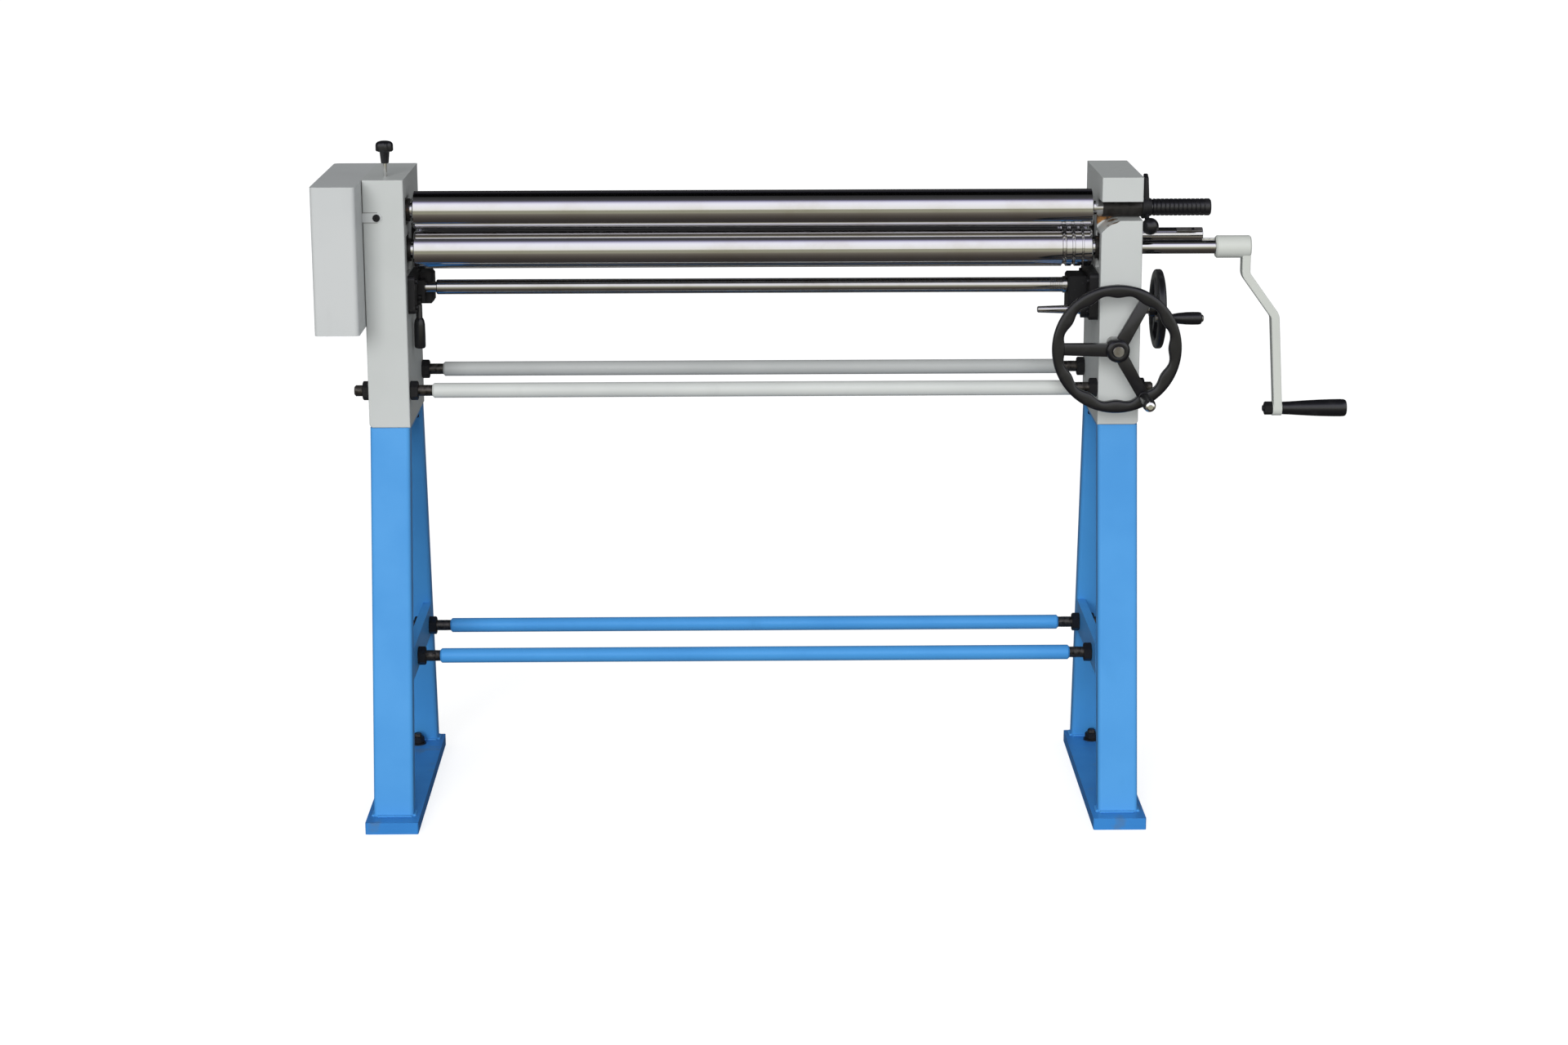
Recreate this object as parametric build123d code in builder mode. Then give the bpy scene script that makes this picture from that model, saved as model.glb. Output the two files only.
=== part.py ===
from build123d import *
import os
from math import cos, pi, radians, sin, tan

# Hand slip roll, all sizes in millimetres.
# Frame: X along the rolls (crank at +X), Y to the back, Z up.
# Origin: on the floor under the nip, midway between the two side frames.

# ---------------------------------------------------------------- driving sizes
# rolls
ROLL_D = 75.0
ROLL_LENGTH = 1354.0
ROLL_END_GAP = 13.0
TOP_ROLL_Z = 1223.0
ROLL_SPACING = 80.0
REAR_ROLL_Y = 98.0
REAR_ROLL_RISE = 10.0
JOURNAL_D = 32.0
GEAR_SEAT_D = 28.0
ROLL_CHAMFER = 2.0
GROOVE_PITCH = 18.5
GROOVE_RADII = (2.5, 3.5, 4.5)

# how far things travel
NIP_UP = 4.0
NIP_DOWN = 2.0
REAR_UP = 55.0
REAR_DOWN = 20.0

# fits
RUN = 0.05
SLIDE = 0.1
FREE = 0.3
GAP = 1.0

# side frames
FRAME_WIDTH = 82.0
FRAME_DEPTH = 280.0
FRAME_FRONT = 62.0
FRAME_TOP = 1290.0
STAND_TOP = 792.0
FRAME_EDGE = 3.0
FRAME_CORNER = 9.0
WALL_BACK = 18.0
WALL_INNER = 8.0
WALL_OUTER = 20.0

# bearing blocks and the screws that lift them
BLOCK_WIDTH = 60.0
BLOCK_HEIGHT = 52.0
BLOCK_LENGTH = 54.0
BLOCK_INSET = 2.0
BUSH_WALL = 5.0
BUSH_FLANGE_D = 46.0
BUSH_FLANGE_T = 6.0
SCREW_D = 20.0
SCREW_FROM_FACE = 26.0
NUT_CLEAR = 2.0
SHELF_T = 12.0
NUT_FLANGE_D = 44.0
NUT_FLANGE_T = 7.0
NUT_STEM_D = 30.0
BAY_BELOW_SHELF = 173.0
WINDOW_LAP = 8.0
WINDOW_LAP_LOW = 6.0
CORE_FROM_BOLT = 26.0
CORE_FLOOR = 20.0
PEDESTAL_T = 12.0
BEARING_AHEAD = 34.0

# top roll: swivel block on the left, open slot and lock bush on the right
SWIVEL_LENGTH = 44.0
SWIVEL_WIDTH = 58.0
SWIVEL_HEIGHT = 54.0
TRUNNION_D = 16.0
TRUNNION_L = 11.0
SLOT_HEIGHT = 38.0
SLOT_RELIEF_X = 38.0
SLOT_RELIEF_Z = 25.0
LOCK_BUSH_D = 37.0
LOCK_BUSH_IN = 8.0
TOP_SHAFT_D = 30.0
GRIP_SHAFT_D = 24.0
LEVER_T = 14.0
LEVER_HUB_D = 46.0
LEVER_UP = 69.0
LEVER_TIP_W = 18.0
BALL_D = 34.0
BALL_FORWARD = 34.0
BALL_DROP = 34.0
PULL_GRIP_D = 34.0
PULL_GRIP_L = 117.0
PULL_GRIP_OUT = 25.0

# gears on the left shaft ends
TEETH = 12
GEAR_PITCH_D = 75.0
ADDENDUM = 5.5
DEDENDUM = 8.0
TOOTH_AT_PITCH = 4.8
GEAR_FACE = 14.0
GEAR_GAP = 3.0

# gear cover
COVER_WIDTH = 88.0
COVER_AHEAD = 107.0
COVER_BOTTOM = 998.0
COVER_SHEET = 2.0
COVER_CORNER = 10.0
LUG_Z = 1216.0
LUG_LENGTH = 39.0
LUG_HEIGHT = 18.0
LUG_SCREW_IN = 28.0
LUG_SCREW_D = 8.0
LUG_HEAD_D = 14.5

# lock knob on the left frame
KNOB_D = 36.0
KNOB_HEIGHT = 21.0
KNOB_NECK_D = 19.0
KNOB_NECK_H = 24.0
KNOB_ROD_D = 8.0
KNOB_GAP_H = 26.0
KNOB_LOBES = 7

# crank
CRANK_SHAFT_D = 28.0
HUB_D = 45.0
HUB_OUT = 154.0
HUB_LENGTH = 71.0
HUB_LIP = 7.0
ARM_T = 17.0
ARM_W = 30.0
CRANK_THROW = 331.0
ARM_IN_HUB = 9.0
ARM_KNEE_1 = 55.0
ARM_KNEE_2 = 140.0
ARM_STEP = 62.0
ARM_LEAN = 12.0
ARM_BOSS = 1.5
CRANK_GRIP_L = 131.0
CRANK_GRIP_D1 = 26.0
CRANK_GRIP_D2 = 36.0
CRANK_PIN_D = 14.0
CRANK_NUT_AF = 24.0

# rear shaft end and its key
REAR_SHAFT_D = 30.0
REAR_KEY_ANGLE = 45.0
REAR_SHAFT_OUT = 142.0
KEY_L = 52.0
KEY_W = 10.0
KEY_H = 8.0

# cross shaft and its housings
CROSS_BELOW_SHELF = 38.0
CROSS_D = 30.0
CROSS_NECK_D = 22.0
CROSS_LEFT_IN = 50.0
CROSS_RIGHT_IN = 64.0
CROSS_COLLAR = 8.0
LINK_GEAR_D = 49.0
LINK_GEAR_W = 16.0
HOUSING_BELOW = (42.0, 60.0)
HOUSING_ABOVE = 34.0
HOUSING_HALF = 84.0
HOUSING_T = (14.0, 18.0)
HOUSING_CORNER = 8.0

# bend handwheel (front)
BEND_WHEEL_D = 256.0
BEND_BELOW_SHELF = 137.0
BEND_AHEAD = 78.0
BEND_RIM_D = 20.0
BEND_RIM_WIDE = 20.0
BEND_HUB_D = 48.0
BEND_HUB_AHEAD = 32.0
BEND_HUB_BEHIND = 20.0
BEND_SHAFT_TIP = 4.0
SPOKE_T = 12.0
SPOKE_W = 24.0
SPOKE_ROOT = 6.0
SPOKE_BITE = 2.0
BEND_BOSS_D = 26.0
BEVEL_BACK = 17.0
BEVEL_FRONT = 9.0
BEVEL_GAP = 0.5
BEND_SHAFT_D = 22.0
BEND_HANDLE_R = 112.0
BEND_HANDLE_L = 86.0
BEND_HANDLE_ANGLE = -60.0
SPOKES = 3

# nip handwheel (side)
NIP_WHEEL_D = 160.0
NIP_WHEEL_OUT = 42.0
NIP_BELOW_SHELF = 81.0
NIP_RIM_D = 18.0
NIP_HUB_D = 36.0
NIP_HUB_IN = 18.0
NIP_HUB_OUT = 12.0
NIP_SPOKE_T = 9.0
NIP_SPOKE_W = 18.0
NIP_BOSS_D = 22.0
NIP_SHAFT_D = 20.0
NIP_BEVEL_BACK = 19.0
NIP_BEVEL_FRONT = 11.0
NIP_NOSE_IN = 32.0
NIP_NOSE_L = 87.0
NIP_NOSE_D1 = 19.0
NIP_NOSE_D2 = 13.0
NIP_HANDLE_R = 63.0
NIP_HANDLE_L = 70.0
NIP_HANDLE_ANGLE = 188.0

# clutch lever on the left housing
CLUTCH_DROP = 20.0
CLUTCH_AHEAD = 10.0
CLUTCH_EYE_D = 16.0
CLUTCH_EYE_T = 11.0
CLUTCH_PIN_D = 8.0
CLUTCH_STEM_D = 13.0
CLUTCH_GRIP_D = 23.0
CLUTCH_STEM_L = 42.0
CLUTCH_GRIP_L = 62.0

# tie bars
TIE_D = 30.0
TIE_END_D = 22.0
TIE_SHOULDER_IN = 44.0
TIE_CHAMFER = 4.0
TIE_FROM_EDGE = 24.0
UPPER_TIE_UP = 72.0
LOWER_TIE_Z = 310.0
TIE_NUT_AF = 34.0
TIE_NUT_T = 16.0
TIE_TIP = 30.0
LOWER_TIE_TIP = 25.0

# stand
POST_WIDTH = 80.0
POST_DEPTH = 40.0
POST_WALL = 4.0
POST_CORNER = 8.0
PLATE_T = 24.0
PLATE_WIDTH = 106.0
FRONT_SPREAD = 155.0
REAR_SPREAD = 114.0
REAR_TOP_IN = 4.0
PLATE_FRONT_OVER = 39.0
PLATE_REAR_OVER = 2.0
STRAP_T = 18.0
STRAP_BELOW = 25.0
STRAP_ABOVE = 37.0
CAP_T = 12.0
CAP_HALF = 37.0
ANCHOR_HOLE_D = 18.0
ANCHOR_HALF_SPACING = 80.0
FOOT_BOLT_D = 16.0
FOOT_BOLT_IN_FRONT = 69.0
FOOT_BOLT_IN_REAR = 66.0
FRAME_BOLT_D = 16.0
FRAME_BOLT_X = 22.0
FRAME_BOLT_HALF = 74.0
FRAME_BOLT_BITE = 30.0

# ---------------------------------------------------------------- worked out
ROLL_HALF = ROLL_LENGTH / 2
INNER = ROLL_HALF + ROLL_END_GAP
OUTER = INNER + FRAME_WIDTH
FRAME_MID = (INNER + OUTER) / 2
FRAME_REAR = FRAME_DEPTH - FRAME_FRONT
LOWER_ROLL_Z = TOP_ROLL_Z - ROLL_SPACING
REAR_ROLL_Z = LOWER_ROLL_Z + REAR_ROLL_RISE
LEFT = -1
RIGHT = 1

# lifting gear: the shelf is as high as the lowest rear block leaves free over the nuts
SCREW_X = INNER + SCREW_FROM_FACE
SHELF_TOP = REAR_ROLL_Z - BLOCK_HEIGHT / 2 - REAR_DOWN - NUT_FLANGE_T - NUT_CLEAR
BAY_BOTTOM = SHELF_TOP - BAY_BELOW_SHELF
CROSS_Y = REAR_ROLL_Y - LINK_GEAR_D - GAP
CROSS_Z = SHELF_TOP - CROSS_BELOW_SHELF
BEND_WHEEL_Z = SHELF_TOP - BEND_BELOW_SHELF
BEND_WHEEL_Y = FRAME_FRONT + BEND_AHEAD
BEND_HUB = (-BEND_WHEEL_Y - BEND_HUB_AHEAD, -BEND_WHEEL_Y + BEND_HUB_BEHIND)
BEND_SHAFT_START = BEND_HUB[0] - BEND_SHAFT_TIP
NIP_Z = SHELF_TOP - NIP_BELOW_SHELF
NIP_WHEEL_X = OUTER + NIP_WHEEL_OUT
NIP_HUB = (NIP_WHEEL_X - NIP_HUB_IN, NIP_WHEEL_X + NIP_HUB_OUT)
NIP_NOSE_START = INNER - NIP_NOSE_IN
NIP_NOSE_END = NIP_NOSE_START - NIP_NOSE_L

# housings of the cross shaft and the lever that hangs in the left one
CROSS_LEFT = INNER - CROSS_LEFT_IN
CROSS_RIGHT = INNER - CROSS_RIGHT_IN
HOUSING_LOW = (CROSS_Z - HOUSING_BELOW[0], CROSS_Z - HOUSING_BELOW[1])
HOUSING_HIGH = CROSS_Z + HOUSING_ABOVE
HOUSING_Y = (CROSS_Y - HOUSING_HALF, CROSS_Y + HOUSING_HALF)
WINDOW_LOW = (HOUSING_LOW[0] + WINDOW_LAP_LOW, HOUSING_LOW[1] + WINDOW_LAP_LOW)
WINDOW_FRONT = -HOUSING_Y[0] - WINDOW_LAP
WINDOW_REAR = HOUSING_Y[1] - WINDOW_LAP
CLUTCH_X = INNER - HOUSING_T[0]
CLUTCH_Y = CROSS_Y - CLUTCH_AHEAD
CLUTCH_Z = CROSS_Z - CLUTCH_DROP
CLUTCH_GRIP_TOP = CLUTCH_Z - CLUTCH_STEM_L

# lock, pull grip, crank and rear shaft end, out from the frames
SWIVEL_X = FRAME_MID
LOCK_BUSH_START = INNER + LOCK_BUSH_IN
PULL_GRIP_START = OUTER + PULL_GRIP_OUT
HUB_START = OUTER + HUB_OUT
HUB_END = HUB_START + HUB_LENGTH
ARM_TOP_X = HUB_END - ARM_IN_HUB
ARM_LOW_X = ARM_TOP_X + ARM_STEP
ARM_END_X = ARM_LOW_X + ARM_LEAN
REAR_SHAFT_END = OUTER + REAR_SHAFT_OUT

# ties and stand
TIE_BODY_HALF = INNER - TIE_SHOULDER_IN
UPPER_TIE_Z = STAND_TOP + UPPER_TIE_UP
FRAME_MID_Y = (FRAME_REAR - FRAME_FRONT) / 2
FRAME_BOLT_YS = (FRAME_MID_Y - FRAME_BOLT_HALF, FRAME_MID_Y + FRAME_BOLT_HALF)
CORE_Y = (FRAME_BOLT_YS[0] + CORE_FROM_BOLT, FRAME_BOLT_YS[1] - CORE_FROM_BOLT)
FRONT_FOOT = FRAME_FRONT + FRONT_SPREAD
REAR_FOOT = FRAME_REAR + REAR_SPREAD
REAR_TOP = FRAME_REAR - REAR_TOP_IN
PLATE_FRONT = FRONT_FOOT + PLATE_FRONT_OVER
PLATE_REAR = REAR_FOOT + PLATE_REAR_OVER
FOOT_BOLT_FRONT = FRONT_FOOT - FOOT_BOLT_IN_FRONT
FOOT_BOLT_REAR = REAR_FOOT - FOOT_BOLT_IN_REAR
STRAP_LOW = LOWER_TIE_Z - STRAP_BELOW
STRAP_HIGH = LOWER_TIE_Z + STRAP_ABOVE

os.makedirs("parts", exist_ok=True)


def save(piece, name):
    """Label a finished piece and write its file."""
    piece.part.label = name
    export_step(piece.part, f"parts/{name}.step")


def block(x, y, z, mode=Mode.ADD):
    """A box between a low and a high value along each axis."""
    with Locations(((x[0] + x[1]) / 2, (y[0] + y[1]) / 2, (z[0] + z[1]) / 2)):
        Box(abs(x[1] - x[0]), abs(y[1] - y[0]), abs(z[1] - z[0]), mode=mode)


def bar_x(diameter, x, y, z, mode=Mode.ADD):
    """A round bar along X between two values of x."""
    with Locations(Location(((x[0] + x[1]) / 2, y, z), (0, 90, 0))):
        Cylinder(diameter / 2, abs(x[1] - x[0]), mode=mode)


def bar_y(diameter, x, y, z, mode=Mode.ADD):
    """A round bar along Y between two values of y."""
    with Locations(Location((x, (y[0] + y[1]) / 2, z), (90, 0, 0))):
        Cylinder(diameter / 2, abs(y[1] - y[0]), mode=mode)


def bar_z(diameter, x, y, z, mode=Mode.ADD):
    """A round bar along Z between two values of z."""
    with Locations((x, y, (z[0] + z[1]) / 2)):
        Cylinder(diameter / 2, abs(z[1] - z[0]), mode=mode)


def turned_x(profile, y, z, mode=Mode.ADD):
    """A turned piece about an axis along X, from (x, radius) points."""
    first = profile[0][0]
    last = profile[-1][0]
    with BuildSketch(Plane.XZ.offset(-y)) as half:
        with BuildLine():
            Polyline((first, z), *[(x, z + r) for x, r in profile], (last, z), close=True)
        make_face()
    revolve(half.sketch, axis=Axis((0, y, z), (1, 0, 0)), mode=mode)


def turned_z(profile, x, y, mode=Mode.ADD):
    """A turned piece about a vertical axis, from (radius, z) points, bottom first."""
    with BuildSketch(Plane.XZ.offset(-y)) as half:
        with BuildLine():
            Polyline((x, profile[0][1]), *[(x + r, h) for r, h in profile], (x, profile[-1][1]), close=True)
        make_face()
    revolve(half.sketch, axis=Axis((x, y, 0), (0, 0, 1)), mode=mode)


def turned_y(profile, x, z, mode=Mode.ADD):
    """A turned piece about an axis along Y, from (y, radius) points, front first."""
    with BuildSketch(Plane.XY.offset(z)) as half:
        with BuildLine():
            Polyline((x, profile[0][0]), *[(x + r, y) for y, r in profile], (x, profile[-1][0]), close=True)
        make_face()
    revolve(half.sketch, axis=Axis((x, 0, z), (0, 1, 0)), mode=mode)


def span(side, near, far):
    """The two x values of a stretch that lies near to far from the middle, on one side."""
    return (side * near, side * far)


def hex_nut(across_flats, thickness, hole=0.0):
    """A chamfered hexagon nut that stands on the origin with its axis along Z."""
    corner = across_flats / 2 / cos(radians(30))
    fall = (corner - across_flats / 2) * 0.6
    with BuildPart() as nut:
        with BuildSketch():
            RegularPolygon(across_flats / 2, 6, major_radius=False)
        extrude(amount=thickness)
        turned_z([(across_flats / 2, 0), (corner, fall), (corner, thickness - fall),
                  (across_flats / 2, thickness)], 0, 0, Mode.INTERSECT)
        if hole > 0:
            bar_z(hole, 0, 0, (-GAP, thickness + GAP), Mode.SUBTRACT)
    return nut.part


# ---------------------------------------------------------------- leg geometry
POST_RUN = POST_DEPTH * 1.02


def front_post_y(z):
    """Front face of the front post at a height."""
    share = (STAND_TOP - z) / (STAND_TOP - PLATE_T)
    return -FRAME_FRONT - share * (FRONT_FOOT - FRAME_FRONT)


def rear_post_y(z):
    """Rear face of the rear post at a height."""
    share = (STAND_TOP - z) / (STAND_TOP - PLATE_T)
    return REAR_TOP + share * (REAR_FOOT - REAR_TOP)


def between_posts(side, x_near, x_far, z_low, z_high):
    """A flat piece that fills the space between the two posts of a leg."""
    corners = []
    for z in (z_low, z_high):
        corners.append((front_post_y(z) + POST_RUN, z))
        corners.append((rear_post_y(z) - POST_RUN, z))
    with BuildSketch(Plane.YZ.offset(side * x_near)) as outline:
        with BuildLine():
            Polyline(corners[0], corners[1], corners[3], corners[2], close=True)
        make_face()
    extrude(outline.sketch, amount=side * (x_far - x_near))


TIE_FRONT_Y = -FRAME_FRONT + TIE_FROM_EDGE
TIE_REAR_Y = FRAME_REAR - TIE_FROM_EDGE
BEND_BEARING_Y = REAR_ROLL_Y - BEARING_AHEAD


# ---------------------------------------------------------------- side frames
def side_frame(side):
    """Cast side frame: hollow bay low down, guides for the bearing blocks above it."""
    with BuildPart() as frame:
        block(span(side, INNER, OUTER), (-FRAME_FRONT, FRAME_REAR), (STAND_TOP, FRAME_TOP))
        foot_edge = frame.edges().filter_by(Axis.Y).group_by(Axis.Z)[0].sort_by(Axis.X)[0 if side < 0 else -1]
        fillet(foot_edge, FRAME_CORNER)
        uprights = frame.edges().filter_by(Axis.Z)
        fillet(uprights, FRAME_EDGE)
        # bay for the lifting gear, closed low down and open to the middle higher up
        bay_y = (-FRAME_FRONT + WALL_BACK, FRAME_REAR - WALL_BACK)
        bay_top = SHELF_TOP - SHELF_T
        block(span(side, INNER + WALL_INNER, OUTER - WALL_OUTER), bay_y, (BAY_BOTTOM, bay_top), Mode.SUBTRACT)
        window_low = WINDOW_LOW[0] if side == LEFT else WINDOW_LOW[1]
        block(span(side, INNER - GAP, INNER + WALL_INNER + GAP), (-WINDOW_FRONT, WINDOW_REAR),
              (window_low, bay_top), Mode.SUBTRACT)
        # core pocket, open below and closed by the plate the casting stands on
        block(span(side, INNER + WALL_BACK, OUTER - WALL_BACK), CORE_Y, (STAND_TOP - GAP, BAY_BOTTOM - CORE_FLOOR),
              Mode.SUBTRACT)
        # guides of the lower and the rear bearing blocks
        guide = BLOCK_WIDTH / 2 + SLIDE
        guide_x = span(side, INNER - GAP, INNER + BLOCK_INSET + BLOCK_LENGTH + BLOCK_INSET)
        lower_top = LOWER_ROLL_Z + BLOCK_HEIGHT / 2 + NIP_UP + GAP
        rear_top = REAR_ROLL_Z + BLOCK_HEIGHT / 2 + REAR_UP + GAP
        block(guide_x, (-guide, guide), (SHELF_TOP, lower_top), Mode.SUBTRACT)
        block(guide_x, (REAR_ROLL_Y - guide, REAR_ROLL_Y + guide), (SHELF_TOP, rear_top), Mode.SUBTRACT)
        # holes in the shelf for the lifting nuts
        for nut_y in (0, REAR_ROLL_Y):
            hole_d = SCREW_D if side == LEFT and nut_y == 0 else NUT_STEM_D
            bar_z(hole_d + 2 * RUN, side * SCREW_X, nut_y, (bay_top - GAP, SHELF_TOP + GAP), Mode.SUBTRACT)
        # slots in the outer wall for the lower shaft and, on the right, the rear shaft
        slot_r = JOURNAL_D / 2 + GAP
        wall_x = span(side, INNER + BLOCK_LENGTH, OUTER + GAP)
        block(wall_x, (-slot_r, slot_r), (LOWER_ROLL_Z - NIP_DOWN, LOWER_ROLL_Z + NIP_UP), Mode.SUBTRACT)
        bar_x(2 * slot_r, wall_x, 0, LOWER_ROLL_Z - NIP_DOWN, Mode.SUBTRACT)
        bar_x(2 * slot_r, wall_x, 0, LOWER_ROLL_Z + NIP_UP, Mode.SUBTRACT)
        if side == RIGHT:
            block(wall_x, (REAR_ROLL_Y - slot_r, REAR_ROLL_Y + slot_r),
                  (REAR_ROLL_Z - REAR_DOWN, REAR_ROLL_Z + REAR_UP), Mode.SUBTRACT)
            bar_x(2 * slot_r, wall_x, REAR_ROLL_Y, REAR_ROLL_Z - REAR_DOWN, Mode.SUBTRACT)
            bar_x(2 * slot_r, wall_x, REAR_ROLL_Y, REAR_ROLL_Z + REAR_UP, Mode.SUBTRACT)
            # open slot for the top roll, with the lower inner corner cut back
            through = (INNER - GAP, OUTER + GAP)
            block(through, (-FRAME_FRONT - GAP, 0), (TOP_ROLL_Z - SLOT_HEIGHT / 2, TOP_ROLL_Z + SLOT_HEIGHT / 2),
                  Mode.SUBTRACT)
            bar_x(SLOT_HEIGHT, through, 0, TOP_ROLL_Z, Mode.SUBTRACT)
            lip = TOP_ROLL_Z - SLOT_HEIGHT / 2
            with BuildSketch(Plane.XZ.offset(FRAME_FRONT + GAP)):
                with BuildLine():
                    Line((INNER - GAP, lip + GAP), (INNER - GAP, lip - SLOT_RELIEF_Z))
                    Line((INNER - GAP, lip - SLOT_RELIEF_Z), (INNER, lip - SLOT_RELIEF_Z))
                    ThreePointArc((INNER, lip - SLOT_RELIEF_Z),
                                  (INNER + SLOT_RELIEF_X * 0.42, lip - SLOT_RELIEF_Z * 0.4),
                                  (INNER + SLOT_RELIEF_X, lip))
                    Line((INNER + SLOT_RELIEF_X, lip), (INNER + SLOT_RELIEF_X, lip + GAP))
                    Line((INNER + SLOT_RELIEF_X, lip + GAP), (INNER - GAP, lip + GAP))
                make_face()
            extrude(amount=-(FRAME_FRONT + GAP + SLOT_HEIGHT / 2), mode=Mode.SUBTRACT)
            # holes for the two handwheel shafts, with a cast pedestal behind the front one
            block((INNER + WALL_INNER, OUTER - WALL_OUTER), (BEND_BEARING_Y - PEDESTAL_T, BEND_BEARING_Y),
                  (BAY_BOTTOM, BEND_WHEEL_Z + BEND_SHAFT_D))
            bar_y(BEND_SHAFT_D + 2 * RUN, SCREW_X, (-FRAME_FRONT - GAP, BEND_BEARING_Y + GAP), BEND_WHEEL_Z,
                  Mode.SUBTRACT)
            bar_x(NIP_SHAFT_D + 2 * RUN, (OUTER - WALL_OUTER - GAP, OUTER + GAP), 0, NIP_Z, Mode.SUBTRACT)
        else:
            # pocket of the swivel block, its pivot holes and the way out for the journal
            pocket_far = SWIVEL_X + SWIVEL_LENGTH / 2 + 3 * GAP
            half_w = SWIVEL_WIDTH / 2 + 2 * GAP
            half_h = SWIVEL_HEIGHT / 2 + SLIDE
            block(span(side, INNER - GAP, pocket_far), (-half_w, half_w),
                  (TOP_ROLL_Z - half_h, TOP_ROLL_Z + half_h), Mode.SUBTRACT)
            reach = SWIVEL_HEIGHT / 2 + TRUNNION_L + GAP
            bar_z(TRUNNION_D + 2 * RUN, -SWIVEL_X, 0, (TOP_ROLL_Z - reach, TOP_ROLL_Z + reach), Mode.SUBTRACT)
            bar_z(KNOB_ROD_D + 2 * RUN, -SWIVEL_X, 0, (TOP_ROLL_Z, FRAME_TOP + GAP), Mode.SUBTRACT)
            bar_x(JOURNAL_D + 8 * GAP, (-pocket_far + GAP, -OUTER - GAP), 0, TOP_ROLL_Z, Mode.SUBTRACT)
            for face_y, inward in ((-FRAME_FRONT, 1), (FRAME_REAR, -1)):
                bar_y(LUG_SCREW_D, -OUTER + LUG_SCREW_IN, (face_y - inward * GAP, face_y + inward * 16), LUG_Z,
                      Mode.SUBTRACT)
        # holes for the tie bars and for the bolts that hold the casting down
        for tie_y in (TIE_FRONT_Y, TIE_REAR_Y):
            bar_x(TIE_END_D + 2 * FREE, span(side, INNER - GAP, OUTER + GAP), tie_y, UPPER_TIE_Z, Mode.SUBTRACT)
        for bolt_y in FRAME_BOLT_YS:
            for bolt_x in (FRAME_MID - FRAME_BOLT_X, FRAME_MID + FRAME_BOLT_X):
                bar_z(FRAME_BOLT_D, side * bolt_x, bolt_y, (STAND_TOP - GAP, STAND_TOP + FRAME_BOLT_BITE + GAP),
                      Mode.SUBTRACT)
    return frame


save(side_frame(LEFT), "left_frame")
save(side_frame(RIGHT), "right_frame")


# ---------------------------------------------------------------- gear cover
with BuildPart() as gear_cover:
    outer_x = (-OUTER - COVER_WIDTH, -OUTER)
    cover_y = (-FRAME_FRONT - COVER_AHEAD, FRAME_REAR)
    block(outer_x, cover_y, (COVER_BOTTOM, FRAME_TOP))
    fillet(gear_cover.edges().filter_by(Axis.Z).sort_by(Axis.X)[:2], COVER_CORNER)
    fillet(gear_cover.edges().filter_by(Axis.Z).group_by(Axis.Y)[0].sort_by(Axis.X)[-1:], COVER_CORNER)
    # room inside, open to the side frame and closed in front of it
    inner_y = (cover_y[0] + COVER_SHEET, cover_y[1] - COVER_SHEET)
    inner_z = (COVER_BOTTOM + COVER_SHEET, FRAME_TOP - COVER_SHEET)
    with BuildSketch(Plane.XY.offset(inner_z[0])) as room:
        with BuildLine():
            Polyline((outer_x[0] + COVER_SHEET, inner_y[1]), (outer_x[0] + COVER_SHEET, inner_y[0]),
                     (outer_x[1] - COVER_SHEET, inner_y[0]), (outer_x[1] - COVER_SHEET, -FRAME_FRONT),
                     (outer_x[1] + GAP, -FRAME_FRONT), (outer_x[1] + GAP, inner_y[1]), close=True)
        make_face()
        fillet(room.vertices().sort_by(Axis.X)[:2], COVER_CORNER - COVER_SHEET)
        fillet(room.vertices().group_by(Axis.Y)[0].sort_by(Axis.X)[-1:], COVER_CORNER - COVER_SHEET)
    extrude(amount=inner_z[1] - inner_z[0], mode=Mode.SUBTRACT)
    # lugs that lie on the front and the rear face of the side frame
    lug_tip = -OUTER + LUG_LENGTH
    lug_z = (LUG_Z - LUG_HEIGHT / 2, LUG_Z + LUG_HEIGHT / 2)
    for lug_y in ((-FRAME_FRONT - COVER_SHEET, -FRAME_FRONT), (FRAME_REAR, FRAME_REAR + COVER_SHEET)):
        block((-OUTER - COVER_SHEET * 6 if lug_y[0] > 0 else -OUTER - COVER_SHEET, lug_tip - LUG_HEIGHT / 2),
              lug_y, lug_z)
        bar_y(LUG_HEIGHT, lug_tip - LUG_HEIGHT / 2, lug_y, LUG_Z)
        bar_y(LUG_SCREW_D, -OUTER + LUG_SCREW_IN, (lug_y[0] - GAP, lug_y[1] + GAP), LUG_Z, Mode.SUBTRACT)
save(gear_cover, "gear_cover")

with BuildPart() as cover_screws:
    for face_y, out in ((-FRAME_FRONT - COVER_SHEET, -1), (FRAME_REAR + COVER_SHEET, 1)):
        screw_x = -OUTER + LUG_SCREW_IN
        bar_y(LUG_SCREW_D - 2 * RUN, screw_x, (face_y, face_y - out * 15), LUG_Z)
        head_r = LUG_HEAD_D / 2
        head = [(face_y, head_r), (face_y + out * 4.5, head_r), (face_y + out * 6, head_r - 1.5)]
        turned_y(head if out > 0 else head[::-1], screw_x, LUG_Z)
        with Locations(Location((screw_x, face_y + out * 6, LUG_Z), (90, 0, 0))):
            Cylinder(3.4, 6, mode=Mode.SUBTRACT)
save(cover_screws, "cover_screws")


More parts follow.
